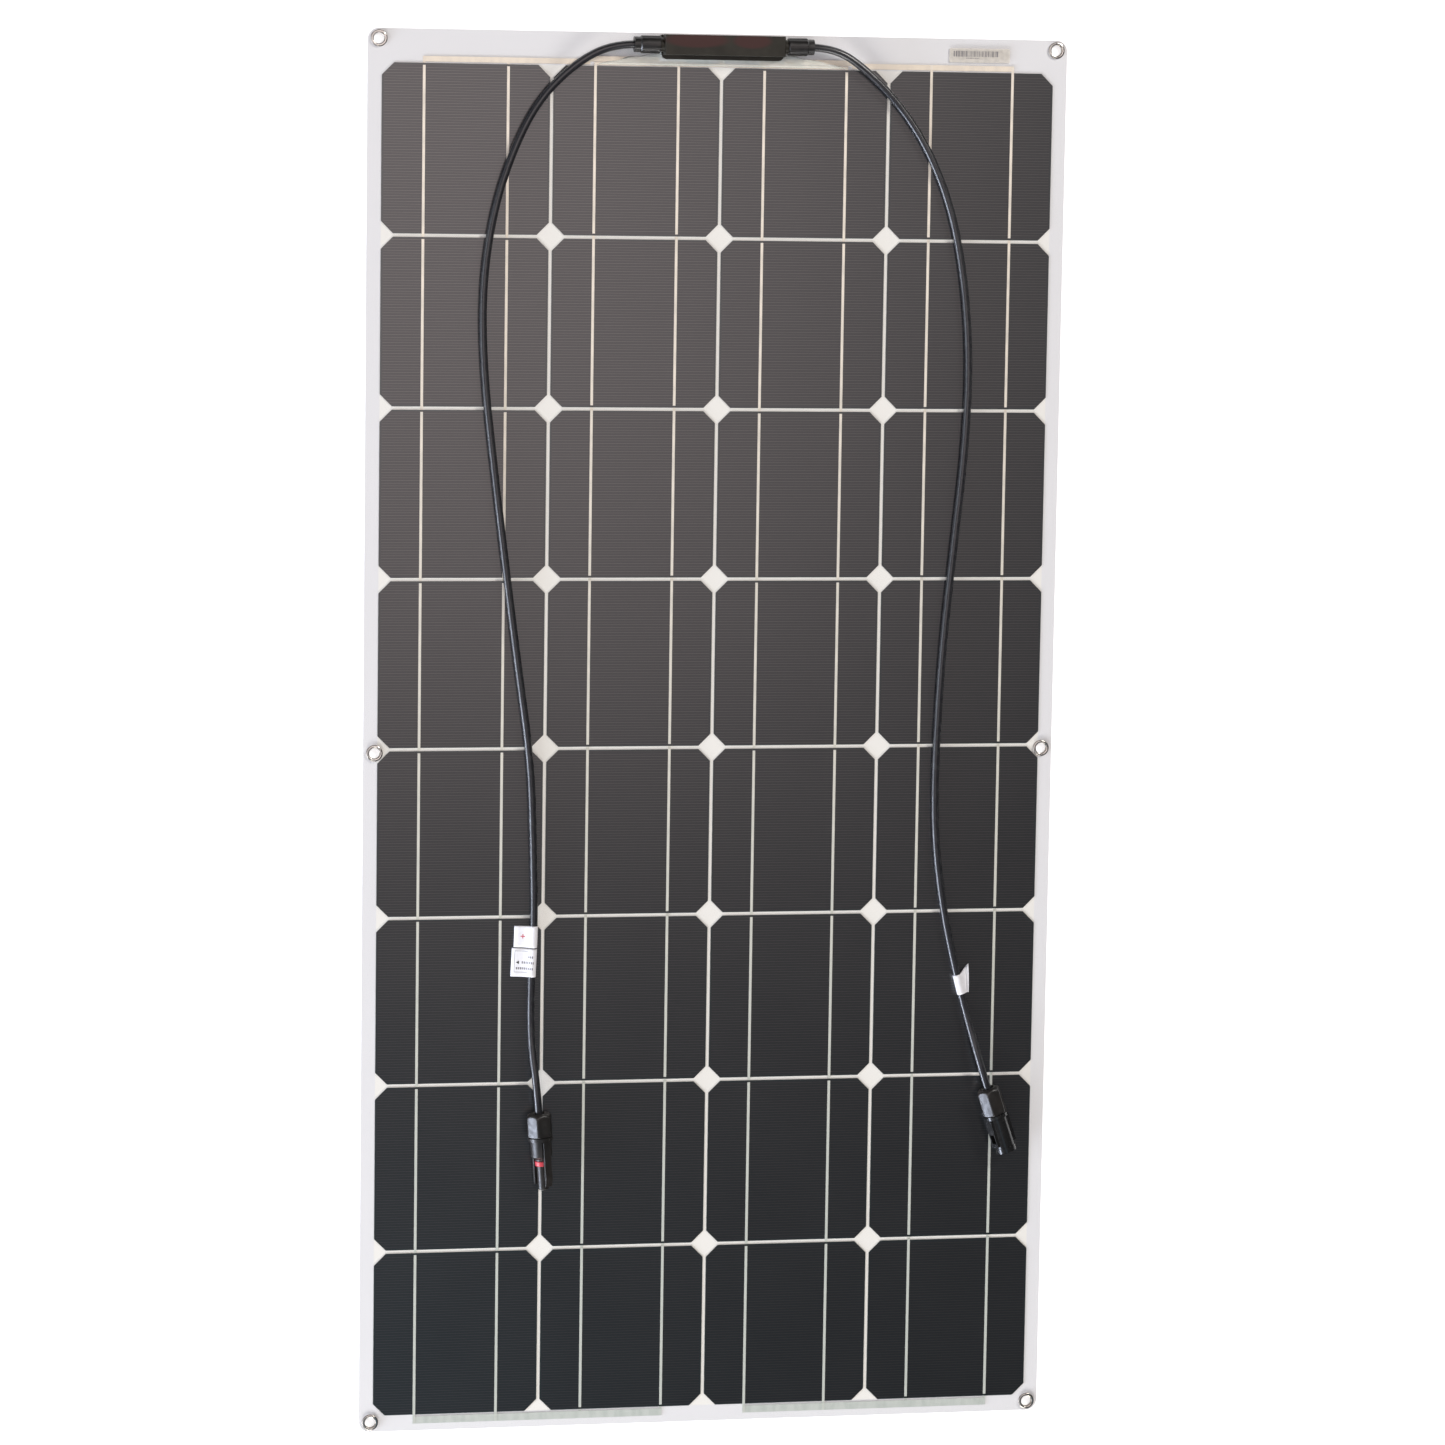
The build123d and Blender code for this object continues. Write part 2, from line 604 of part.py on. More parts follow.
def bypass_diode(side):
    """A moulded body with a flat leg on the plate at each end."""
    body_low = TERMINAL_TOP + DIODE_LEG_THICKNESS
    body = Pos(side * DIODE_X, BOX_AXIS_Y, body_low + DIODE_HEIGHT / 2)
    body *= Box(DIODE_LENGTH, DIODE_WIDTH, DIODE_HEIGHT)
    body = chamfer(body.edges().group_by(Axis.Z)[-1], DIODE_CHAMFER)
    legs = Pos(side * DIODE_X, BOX_AXIS_Y, TERMINAL_TOP + DIODE_LEG_THICKNESS / 2)
    return body + legs * Box(DIODE_LEG_SPAN, DIODE_LEG_WIDTH, DIODE_LEG_THICKNESS)


def gasket():
    """The ring in the top of the box wall, which is also the shape of its groove."""
    return frame(GASKET_OUTER, GASKET_INNER, BOX_BODY_TOP - GASKET_THICKNESS, BOX_BODY_TOP)


def box_base():
    """Flange, walls, floor and the two gland stubs, bored for the cables."""
    end = BOX_HALF_LENGTH + BOX_FLANGE_PAST_END
    front = BOX_TOP_Y - BOX_WIDTH - BOX_FLANGE_REACH
    flange = block(-end, end, front, BOX_TOP_Y, ADHESIVE_TOP, BOX_FLANGE_TOP)
    front_corners = flange.edges().filter_by(Axis.Z).group_by(Axis.Y)[0]
    flange = fillet(front_corners, BOX_FLANGE_CORNER)
    base = flange + box_outline(0, ADHESIVE_TOP, BOX_BODY_TOP)
    base -= box_outline(BOX_WALL, BOX_FLOOR_TOP, BOX_BODY_TOP)
    base -= gasket()
    bore_length = GLAND_THREAD_END + 2 * BOX_WALL
    bore = Pos(GLAND_THREAD_END - bore_length / 2, 0, 0) * Rot(0, 90, 0)
    bore *= Cylinder(CABLE_RADIUS, bore_length)
    for side in (-1, 1):
        base += on_gland_axis(side) * gland_stub()
        base -= on_gland_axis(side) * bore
    return base - leads()


def box_lid():
    """A flat cover with a rib inside the wall."""
    lid = fillet(box_outline(0, BOX_BODY_TOP, BOX_LID_TOP).edges().group_by(Axis.Z)[-1], LID_ROUND)
    return lid + frame(LID_RIB_OUTER, LID_RIB_INNER, BOX_BODY_TOP - LID_RIB_DEPTH, BOX_BODY_TOP)


def adhesive_bead():
    """Silicone under the box, with a thin lens of it squeezed out in front and past both ends."""
    end = BOX_HALF_LENGTH + ADHESIVE_PAST_ENDS
    front = BOX_TOP_Y - BOX_WIDTH - ADHESIVE_PAST_FRONT
    bed = block(-end, end, front, BOX_TOP_Y - ADHESIVE_REAR_INSET, SHEET_TOP, ADHESIVE_TOP)
    bed = fillet(bed.edges().filter_by(Axis.Z), ADHESIVE_CORNER)
    left = (-ADHESIVE_WING_END, front)
    right = (ADHESIVE_WING_END, front)
    crest = (0, front + ADHESIVE_WING_CREST)
    outline = make_face([ThreePointArc(left, crest, right), Line(right, left)])
    lens = Pos(0, 0, SHEET_TOP) * extrude(outline, ADHESIVE_TOP - SHEET_TOP)
    return bed + lens - leads()


def build_box():
    save("box_adhesive", adhesive_bead())
    save("box_base", box_base())
    save("box_gasket", gasket())
    save("box_lid", box_lid())
    save("box_potting", box_outline(BOX_WALL, BOX_FLOOR_TOP, LEAD_TOP) - leads())
    save("terminal_plates", *terminal_plates())
    save("bypass_diodes", bypass_diode(-1), bypass_diode(1))
    for side, name in ((-1, "left"), (1, "right")):
        save(f"gland_nut_{name}", on_gland_axis(side) * gland_nut())
    save("gland_seals", *[on_gland_axis(side) * gland_seal() for side in (-1, 1)])
    save("cable_tails", *[on_gland_axis(side) * cable_tail() for side in (-1, 1)])


# ---------------------------------------------------------------- cables
def connector_axis(heading):
    """Unit vector along a connector, from its nut to its tip."""
    flat = cos(radians(CONNECTOR_PITCH))
    return (flat * cos(radians(heading)), flat * sin(radians(heading)), -sin(radians(CONNECTOR_PITCH)))


def along_axis(rear, heading, distance):
    return tuple(start + distance * step for start, step in zip(rear, connector_axis(heading)))


def corner_radii(route):
    """For each corner, the largest arc that its two runs allow."""
    radii = []
    for before, corner, after in zip(route, route[1:], route[2:]):
        arriving = Vector(*corner) - Vector(*before)
        leaving = Vector(*after) - Vector(*corner)
        half_turn = radians(arriving.get_angle(leaving)) / 2
        radii.append(0.45 * min(arriving.length, leaving.length) / tan(half_turn))
    print("radii", [round(radius) for radius in radii])
    return radii


def cable_path(route, rear, heading):
    """The centre line: straight runs joined by arcs, the last run along the connector."""
    ends = [along_axis(rear, heading, -LEAD_IN), along_axis(rear, heading, TAIL_START)]
    corners = route + ends
    return FilletPolyline(*corners, radius=corner_radii(corners))


def cable(path):
    """A round tube along the path, as its upper and lower length at the bend line."""
    tube = sweep(Plane(path @ 0, z_dir=path % 0) * Circle(CABLE_RADIUS), path=path)
    gap = CABLE_FLEX_GAP / 2
    upper = tube & block(-WIDTH, WIDTH, BEND_Y + gap, LENGTH, 0, LENGTH)
    lower = tube & block(-WIDTH, WIDTH, -LENGTH, BEND_Y - gap, 0, LENGTH)
    section = pi * CABLE_RADIUS ** 2
    print("cable", round(path.length), "mm, volume over section x length",
          round(tube.volume / (section * path.length), 3))
    return upper, lower


def build_cables(paths):
    for side, path in paths.items():
        upper, lower = cable(path)
        save(f"cable_{side}_upper", upper)
        save(f"cable_{side}_lower", lower)


# ---------------------------------------------------------------- labels
def flag_label(length, reach):
    """A label wrapped round a cable along X, its two ends stuck together as a flag towards reach."""
    inner = CABLE_RADIUS + LABEL_BORE_CLEARANCE
    outer = inner + LABEL_PLY
    sleeve = turned((-length / 2, inner), (-length / 2, outer), (length / 2, outer), (length / 2, inner))
    root = (inner + LABEL_PLY / 2) * (1 if reach > 0 else -1)
    return sleeve + block(-length / 2, length / 2, root, reach, -LABEL_PLY, LABEL_PLY)


def on_cable(path, part):
    """Local X along a laid cable, at this part of its length."""
    point = path @ part
    tangent = path % part
    return Pos(*point) * Rot(0, 0, degrees(atan2(tangent.Y, tangent.X)))


def build_labels(paths):
    plus = flag_label(PLUS_LABEL_LENGTH, -PAIR_FLAG_REACH)
    arrow = flag_label(ARROW_LABEL_LENGTH, -PAIR_FLAG_REACH)
    minus = flag_label(MINUS_LABEL_LENGTH, MINUS_FLAG_REACH)
    save("cable_label_plus", on_cable(paths["left"], PLUS_LABEL_AT) * plus)
    save("cable_label_arrow", on_cable(paths["left"], ARROW_LABEL_AT) * arrow)
    save("cable_label_minus", on_cable(paths["right"], MINUS_LABEL_AT) * minus)
    save("serial_sticker", block(STICKER_LEFT, STICKER_RIGHT, STICKER_LOW, STICKER_HIGH,
                                 SHEET_TOP, SHEET_TOP + STICKER_THICKNESS))


# ---------------------------------------------------------------- connectors
def in_connector(rear, heading, roll):
    """Local X along the connector from its nut's rear end, local Y turned by roll."""
    return Pos(*rear) * Rot(0, 0, heading) * Rot(0, CONNECTOR_PITCH, 0) * Rot(roll, 0, 0)


def connector_nut(length, radius):
    """A hexagonal cap with round corners, which squeezes the seal on to the cable."""
    bore = CABLE_RADIUS + MOVING_CLEARANCE
    chamber = TAIL_RADIUS - MOVING_CLEARANCE
    thread = TAIL_RADIUS + THREAD_CLEARANCE
    chamber_start = SEAL_START - MOVING_CLEARANCE
    thread_start = TAIL_START - MOVING_CLEARANCE
    nut = turned((0, NUT_THROAT_RADIUS), (0, radius - NUT_REAR_CHAMFER),
                 (NUT_REAR_CHAMFER, radius), (length, radius), (length, thread),
                 (thread_start, thread), (thread_start, chamber), (chamber_start, chamber),
                 (chamber_start, bore), (NUT_THROAT_DEPTH, bore))
    hexagon = RegularPolygon(radius - NUT_FLAT_INSET, 6, major_radius=False)
    return nut & extrude(Plane.YZ * hexagon, length)


def connector_seal():
    outer = TAIL_RADIUS - SEAL_CLEARANCE
    return turned((SEAL_START, CABLE_RADIUS), (SEAL_START, outer), (TAIL_START, outer),
                  (TAIL_START, CABLE_RADIUS))


def plug_housing():
    """Threaded tail, collar, body with two flats under the latch fingers, and the nose."""
    collar = PLUG_NUT_LENGTH + MOVING_CLEARANCE
    body = collar + COLLAR_LENGTH
    housing = turned((TAIL_START, CONTACT_RADIUS), (TAIL_START, TAIL_RADIUS),
                     (collar, TAIL_RADIUS), (collar, PLUG_COLLAR_RADIUS),
                     (body, PLUG_COLLAR_RADIUS), (body, PLUG_BODY_RADIUS),
                     (PLUG_BODY_END, PLUG_BODY_RADIUS), (NOSE_ROOT, NOSE_ROOT_RADIUS),
                     (RING_SEAT_START, NOSE_ROOT_RADIUS), (RING_SEAT_START, RING_SEAT_RADIUS),
                     (NOSE_START, RING_SEAT_RADIUS), (NOSE_START, NOSE_RADIUS),
                     (PLUG_LENGTH - NOSE_CHAMFER, NOSE_RADIUS),
                     (PLUG_LENGTH, NOSE_RADIUS - NOSE_CHAMFER), (PLUG_LENGTH, CONTACT_RADIUS))
    half = PLUG_FLAT_HALF_WIDTH
    return housing - [block(body, PLUG_FLAT_END, side * PLUG_FLAT, side * BARB_OUTSIDE, -half, half)
                      for side in (-1, 1)]


def plug_pin():
    return turned((TAIL_START, 0), (TAIL_START, CONTACT_RADIUS),
                  (CONTACT_BARREL_END, CONTACT_RADIUS), (CONTACT_BARREL_END, PIN_RADIUS),
                  (PIN_END - PIN_TIP, PIN_RADIUS), (PIN_END, PIN_TIP_RADIUS), (PIN_END, 0))


def plug_ring():
    """The sealing band at the root of the nose."""
    shoulder = RING_OUTSIDE - RING_ROUND
    return turned((RING_START, RING_SEAT_RADIUS), (RING_START, shoulder),
                  (RING_START + RING_ROUND, RING_OUTSIDE), (RING_END - RING_ROUND, RING_OUTSIDE),
                  (RING_END, shoulder), (RING_END, RING_SEAT_RADIUS))


def latch_finger():
    """One sprung finger, on the local +Y side, with its barb near the tip."""
    face = make_face(Polyline((FINGER_ROOT, FINGER_INSIDE), (FINGER_ROOT, FINGER_OUTSIDE),
                              (BARB_START, FINGER_OUTSIDE), (BARB_TOP_START, BARB_OUTSIDE),
                              (BARB_TOP_END, BARB_OUTSIDE), (FINGER_TIP, FINGER_TIP_OUTSIDE),
                              (FINGER_TIP, FINGER_INSIDE), close=True))
    return Pos(0, 0, -FINGER_WIDTH / 2) * extrude(face, FINGER_WIDTH)


def socket_housing():
    """Threaded tail, collar and round body with a mouth, two wings and their windows."""
    collar = SOCKET_NUT_LENGTH + MOVING_CLEARANCE
    body = collar + COLLAR_LENGTH
    housing = turned((TAIL_START, CONTACT_RADIUS), (TAIL_START, TAIL_RADIUS),
                     (collar, TAIL_RADIUS), (collar, SOCKET_COLLAR_RADIUS),
                     (body, SOCKET_COLLAR_RADIUS), (body, SOCKET_BODY_RADIUS),
                     (SOCKET_RIM_START, SOCKET_BODY_RADIUS), (SOCKET_RIM_START, SOCKET_RIM_RADIUS),
                     (SOCKET_LENGTH, SOCKET_RIM_RADIUS), (SOCKET_LENGTH, MOUTH_RADIUS),
                     (MOUTH_STEP, MOUTH_RADIUS), (MOUTH_STEP, MOUTH_SEAL_RADIUS),
                     (MOUTH_START, MOUTH_SEAL_RADIUS), (MOUTH_START, CONTACT_RADIUS))
    wing = WING_HALF_WIDTH
    window = WINDOW_HALF_WIDTH
    for side in (-1, 1):
        housing += block(body, WING_END, side * WING_INSIDE, side * WING_OUTSIDE, -wing, wing)
    for side in (-1, 1):
        housing -= block(WINDOW_START, WINDOW_END, side * CONTACT_TUBE_OUTER,
                         side * (WING_OUTSIDE + wing), -window, window)
    return housing


def socket_contact():
    """Crimp barrel with the tube that takes the plug's pin."""
    return turned((TAIL_START, 0), (TAIL_START, CONTACT_RADIUS),
                  (CONTACT_BARREL_END, CONTACT_RADIUS), (CONTACT_BARREL_END, CONTACT_TUBE_OUTER),
                  (CONTACT_TUBE_END, CONTACT_TUBE_OUTER), (CONTACT_TUBE_END, CONTACT_TUBE_INNER),
                  (CONTACT_TUBE_BOTTOM, CONTACT_TUBE_INNER), (CONTACT_TUBE_BOTTOM, 0))


def build_connectors():
    plug = in_connector(PLUG_REAR, PLUG_HEADING, FINGER_ROLL)
    socket = in_connector(SOCKET_REAR, SOCKET_HEADING, WING_ROLL)
    save("plug_nut", plug * Rot(PLUG_NUT_TURN, 0, 0) * connector_nut(PLUG_NUT_LENGTH, PLUG_NUT_RADIUS))
    save("plug_housing", plug * plug_housing())
    save("plug_pin", plug * plug_pin())
    save("plug_ring_seal", plug * plug_ring())
    save("latch_finger_upper", plug * latch_finger())
    save("latch_finger_lower", plug * Rot(180, 0, 0) * latch_finger())
    turned_nut = Rot(SOCKET_NUT_TURN, 0, 0) * connector_nut(SOCKET_NUT_LENGTH, SOCKET_NUT_RADIUS)
    save("socket_nut", socket * turned_nut)
    save("socket_housing", socket * socket_housing())
    save("socket_contact", socket * socket_contact())
    save("connector_seals", plug * connector_seal(), socket * connector_seal())


os.makedirs("parts", exist_ok=True)
build_sheet()
build_eyelets()
build_box()
cable_paths = {
    "left": cable_path(LEFT_ROUTE, PLUG_REAR, PLUG_HEADING),
    "right": cable_path(RIGHT_ROUTE, SOCKET_REAR, SOCKET_HEADING),
}
build_cables(cable_paths)
build_labels(cable_paths)
build_connectors()
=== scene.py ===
import random
from math import atan2, ceil, cos, floor, hypot, pi, radians, sin

import bmesh
import bpy
from mathutils import Matrix, Quaternion, Vector, noise


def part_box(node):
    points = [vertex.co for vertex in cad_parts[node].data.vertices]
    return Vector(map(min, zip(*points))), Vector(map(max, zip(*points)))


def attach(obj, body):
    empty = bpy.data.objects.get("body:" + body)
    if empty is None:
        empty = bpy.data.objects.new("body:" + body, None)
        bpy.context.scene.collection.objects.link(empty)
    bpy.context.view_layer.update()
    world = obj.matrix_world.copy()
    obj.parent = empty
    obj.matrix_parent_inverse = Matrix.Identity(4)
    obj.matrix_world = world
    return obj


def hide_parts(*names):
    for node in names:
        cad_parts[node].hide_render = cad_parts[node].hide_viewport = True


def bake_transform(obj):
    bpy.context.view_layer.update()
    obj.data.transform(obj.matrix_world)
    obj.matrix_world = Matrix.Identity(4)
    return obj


# Semi-flexible solar sheet, metres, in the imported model's frame: X across the sheet, Y along
# it towards the junction box, +Z out of the lit face, back face at Z 0.
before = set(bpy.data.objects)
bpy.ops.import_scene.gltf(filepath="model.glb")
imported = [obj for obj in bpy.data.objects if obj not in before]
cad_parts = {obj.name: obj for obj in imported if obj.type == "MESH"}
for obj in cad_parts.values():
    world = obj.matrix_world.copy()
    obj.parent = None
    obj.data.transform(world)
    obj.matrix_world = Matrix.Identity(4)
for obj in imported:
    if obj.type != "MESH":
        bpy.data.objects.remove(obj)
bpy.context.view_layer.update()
scene = bpy.context.scene
scene.view_settings.view_transform = "Standard"
MM = 0.001

# ---- driving dimensions
CELL = 0.125
CELL_GAP = 0.0025
PITCH = CELL + CELL_GAP
CHAMFER = 0.009
COLUMNS = 4
ROWS = 8
CORNER_RADIUS = 0.0085
BEND_Y = -0.00625             # the flex joint's line, between rows 4 and 5
FLEX_LENGTH = 0.23            # how far below that line the sheet curls
BEND_STEP = 0.005             # spacing of the cuts that let a piece curl
BACKSHEET_TOP = 1.4 * MM
CELL_BACK = 1.7 * MM
CELL_FRONT = 1.9 * MM
SHEET_TOP = 2.5 * MM
FINGER_PITCH = 0.002
EDGE_BLUR = 0.5 * MM          # half the width of the step from one tone to the next
RIBBON_WIDTH = 2.0 * MM
RIBBON_THICKNESS = 0.15 * MM
RIBBON_OFFSET = 31.25 * MM
RIBBON_INSET = 1.5 * MM
RIBBON_FOLD = 0.4 * MM        # from a cell's edge to the ribbon's fold
RIBBON_TAIL = 14.5 * MM       # from that edge to the ribbon's end, under the next cell
BACK_RIBBON = 12.0 * MM       # length of ribbon under a column's last cell
BOTTOM_BUS_REACH = 7.0 * MM
OUTER_BUS_REACH = 5.0 * MM
INNER_BUS_REACH = 2.75 * MM
FILM_FOOT = 1.42 * MM         # the film's underside, just clear of the backsheet
EYELET_HOLE = 4.0 * MM
EYELET_BARREL = 4.5 * MM
EYELET_FLANGE = 6.2 * MM
EYELET_ROLL = 0.8 * MM
EYELET_STEPS = 12
BEAD_CREST = 12.0 * MM        # reach of the squeezed-out adhesive at its middle
BEAD_HEIGHT = 0.8 * MM
BEAD_SECTIONS = 160
BEAD_STEPS = 14
BED_END = 47.1 * MM           # half length of the adhesive under the box itself
BED_SETBACK = 3.0 * MM
STICKER_THICKNESS = 0.03 * MM
STICKER_CORNER = 1.0 * MM
CABLE_RADIUS = 2.9 * MM
LAID = 5.8 * MM
CONNECTOR_PITCH = radians(1.0)
PLUG_REAR = Vector((-0.1308, -0.2820, 0.0130))
PLUG_HEADING = radians(-85.6)
PLUG_ROLL = radians(64.0)
PLUG_NUT_TURN = radians(-18.0)
SOCKET_REAR = Vector((0.2172, -0.2702, 0.0128))
SOCKET_HEADING = radians(-71.5)
SOCKET_ROLL = radians(-25.0)
SOCKET_NUT_TURN = radians(13.0)
FLOOR_HALF = 14.0
FLOOR_TOP = -0.3 * MM
FLOOR_BOTTOM = -0.02

sheet_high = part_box("backsheet_upper")[1]
HALF_WIDTH = sheet_high.x
HALF_LENGTH = sheet_high.y
eyelets_low, eyelets_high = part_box("eyelets_upper")
EYELET_X = eyelets_high.x - EYELET_FLANGE
EYELET_Y = eyelets_high.y - EYELET_FLANGE
MIDDLE_EYELET_Y = eyelets_low.y + EYELET_FLANGE


# ---- camera
def make_camera():
    """A long lens, nearly overhead, a little to the left of the sheet and above its middle."""
    data = bpy.data.cameras.new("camera")
    data.sensor_width = 36.0
    data.lens = 122.23
    camera = bpy.data.objects.new("camera", data)
    camera.location = (-0.677, 0.44675, 3.618)
    camera.rotation_mode = "QUATERNION"
    turn = Vector((-0.1185, -0.1861, 0.0040))
    camera.rotation_quaternion = Quaternion(turn.normalized(), turn.length)
    scene.collection.objects.link(camera)
    scene.camera = camera


# ---- cords' routes
def connector_axis(heading):
    """Unit vector along a connector, from its nut to its tip."""
    flat = cos(CONNECTOR_PITCH)
    return Vector((flat * cos(heading), flat * sin(heading), -sin(CONNECTOR_PITCH)))


LEFT_ROUTE = [
    (-0.0637, 0.5188, 0.0102),
    (-0.0840, 0.5188, 0.0102),
    (-0.1120, 0.5035, 0.0086),
    (-0.1385, 0.4760, 0.0058),
    (-0.1570, 0.4390, LAID),
    (-0.1710, 0.3940, LAID),
    (-0.1785, 0.3390, LAID),
    (-0.1770, 0.2770, LAID),
    (-0.1690, 0.2090, LAID),
    (-0.1595, 0.1340, LAID),
    (-0.1490, 0.0560, LAID),
    (-0.1385, -0.0160, LAID),
    (-0.1360, -0.0810, LAID),
    (-0.1345, -0.1360, LAID),
    (-0.1368, -0.1860, LAID),
    (-0.1365, -0.2290, 0.0066),
]
RIGHT_ROUTE = [
    (0.0637, 0.5188, 0.0102),
    (0.0840, 0.5188, 0.0102),
    (0.1100, 0.5020, 0.0084),
    (0.1375, 0.4750, 0.0058),
    (0.1600, 0.4410, LAID),
    (0.1780, 0.3960, LAID),
    (0.1885, 0.3410, LAID),
    (0.1930, 0.2810, LAID),
    (0.1905, 0.2160, LAID),
    (0.1835, 0.1460, LAID),
    (0.1765, 0.0710, LAID),
    (0.1730, -0.0010, LAID),
    (0.1725, -0.0680, LAID),
    (0.1800, -0.1280, LAID),
    (0.1925, -0.1830, LAID),
    (0.2035, -0.2230, 0.0066),
]
LEAD_IN = 0.018
TAIL_START = 0.009


def cord_line(corners, rear, heading):
    """Points along the smooth NURBS line whose control points are a cord's route."""
    axis = connector_axis(heading)
    control = [Vector(corner) for corner in corners] + [rear - LEAD_IN * axis, rear + TAIL_START * axis]
    curve = bpy.data.curves.new("cord_line", "CURVE")
    curve.dimensions = "3D"
    curve.resolution_u = 12
    spline = curve.splines.new("NURBS")
    spline.points.add(len(control) - 1)
    for point, place in zip(spline.points, control):
        point.co = (*place, 1.0)
    spline.order_u = 3
    spline.use_endpoint_u = True
    holder = bpy.data.objects.new("cord_line", curve)
    scene.collection.objects.link(holder)
    bpy.context.view_layer.update()
    line = bpy.data.meshes.new_from_object(holder)
    points = [vertex.co.copy() for vertex in line.vertices]
    bpy.data.objects.remove(holder)
    return points


# ---- mesh helpers
def make_object(name, bm, look, smooth=False):
    """A new object from a bmesh, with one material."""
    bmesh.ops.recalc_face_normals(bm, faces=bm.faces)
    mesh = bpy.data.meshes.new(name)
    bm.to_mesh(mesh)
    bm.free()
    mesh.materials.append(look)
    for polygon in mesh.polygons:
        polygon.use_smooth = smooth
    made = bpy.data.objects.new(name, mesh)
    scene.collection.objects.link(made)
    return made


def soften(made, width):
    """Rounds every edge sharper than 30 degrees, and keeps the flats flat."""
    bevel = made.modifiers.new("bevel", "BEVEL")
    bevel.width = width
    bevel.segments = 2
    bevel.limit_method = "ANGLE"
    bevel.angle_limit = radians(30)
    bevel.harden_normals = False
    weighted = made.modifiers.new("weighted", "WEIGHTED_NORMAL")
    weighted.keep_sharp = False
    for polygon in made.data.polygons:
        polygon.use_smooth = True


def store_flat(made):
    """Keeps each vertex's place at rest in a UV map, so that patterns stay put when it bends."""
    mesh = made.data
    layer = mesh.uv_layers.new(name="flat")
    for loop in mesh.loops:
        place = mesh.vertices[loop.vertex_index].co
        layer.data[loop.index].uv = (place.x, place.y)


def cut_rows(bm, low, high):
    """Cuts a mesh across Y at even steps where it curls, between low and high."""
    first = ceil(max(low, BEND_Y - FLEX_LENGTH) / BEND_STEP)
    last = floor(min(high, BEND_Y) / BEND_STEP)
    for index in range(first, last + 1):
        geometry = bm.verts[:] + bm.edges[:] + bm.faces[:]
        middle = (0, index * BEND_STEP, 0)
        bmesh.ops.bisect_plane(bm, geom=geometry, dist=1e-7, plane_co=middle, plane_no=(0, 1, 0))


def follow_sheet(made):
    """Rides on the half of the sheet that a piece lies on; a piece that crosses the curl has its
    transform baked into its mesh and is left unattached.
    """
    ys = [vertex.co.y for vertex in made.data.vertices]
    if min(ys) >= BEND_Y:
        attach(made, "sheet_upper")
    elif max(ys) <= BEND_Y - FLEX_LENGTH:
        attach(made, "sheet_lower")
    else:
        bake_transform(made)
    return made


def extrude(bm, faces, shift):
    """Carries flat faces along a shift, so that they enclose solids."""
    carried = bmesh.ops.extrude_face_region(bm, geom=faces)["geom"]
    moved = [item for item in carried if isinstance(item, bmesh.types.BMVert)]
    bmesh.ops.translate(bm, verts=moved, vec=shift)


def add_prism(bm, outline, low, high):
    """An upright prism over a flat outline."""
    bottom = bm.faces.new([bm.verts.new((x, y, low)) for x, y in outline])
    extrude(bm, [bottom], (0, 0, high - low))


def add_block(bm, x0, x1, y0, y1, z0, z1):
    """An upright box."""
    add_prism(bm, [(x0, y0), (x1, y0), (x1, y1), (x0, y1)], z0, z1)


def circle(x, y, radius):
    """Outline of a round hole."""
    sides = 32
    turns = [2 * pi * i / sides for i in range(sides)]
    return [(x + radius * cos(turn), y + radius * sin(turn)) for turn in turns]


def rounded_rectangle(half_x, half_y, radius):
    """Outline of a rectangle with round corners, centred on the origin."""
    steps = 8
    outline = []
    for corner in range(4):
        turn = corner * pi / 2
        across = half_x - radius if corner in (0, 3) else radius - half_x
        along = half_y - radius if corner in (0, 1) else radius - half_y
        for step in range(steps + 1):
            angle = turn + step / steps * pi / 2
            outline.append((across + radius * cos(angle), along + radius * sin(angle)))
    return outline


def join_rings(bm, rings):
    """Faces between each ring of vertices and the next, and from the last back to the first."""
    for ring, following in zip(rings, rings[1:] + rings[:1]):
        for i in range(len(ring)):
            j = (i + 1) % len(ring)
            bm.faces.new((ring[i], ring[j], following[j], following[i]))


def turned(profile):
    """A closed surface of revolution about X from (x, radius) points."""
    sides = 48
    bm = bmesh.new()
    rings = []
    for x, radius in profile:
        turns = [2 * pi * i / sides for i in range(sides)]
        rings.append([bm.verts.new((x, radius * cos(turn), radius * sin(turn))) for turn in turns])
    join_rings(bm, rings)
    bmesh.ops.remove_doubles(bm, verts=bm.verts, dist=1e-7)
    return bm


def tube(name, points, radius, look):
    """A round tube whose rings are centred on the points, with its run and turn as UVs."""
    sides = 20
    bm = bmesh.new()
    layer = bm.loops.layers.uv.new("flat")
    rings = []
    travelled = [0.0]
    for before, after in zip(points, points[1:]):
        travelled.append(travelled[-1] + (after - before).length)
    for index, point in enumerate(points):
        ahead = points[min(index + 1, len(points) - 1)]
        behind = points[max(index - 1, 0)]
        run = (ahead - behind).normalized()
        side = run.cross(Vector((0, 0, 1))).normalized()
        up = side.cross(run)
        turns = [2 * pi * i / sides for i in range(sides)]
        rings.append([bm.verts.new(point + radius * (side * cos(t) + up * sin(t))) for t in turns])
    for index, (ring, following) in enumerate(zip(rings, rings[1:])):
        for i in range(sides):
            j = (i + 1) % sides
            face = bm.faces.new((ring[i], ring[j], following[j], following[i]))
            runs = (travelled[index], travelled[index], travelled[index + 1], travelled[index + 1])
            turns = (i, i + 1, i + 1, i)
            for loop, run, turn in zip(face.loops, runs, turns):
                loop[layer].uv = (run, turn / sides)
    bm.faces.new(rings[0])
    bm.faces.new(rings[-1])
    return make_object(name, bm, look, smooth=True)


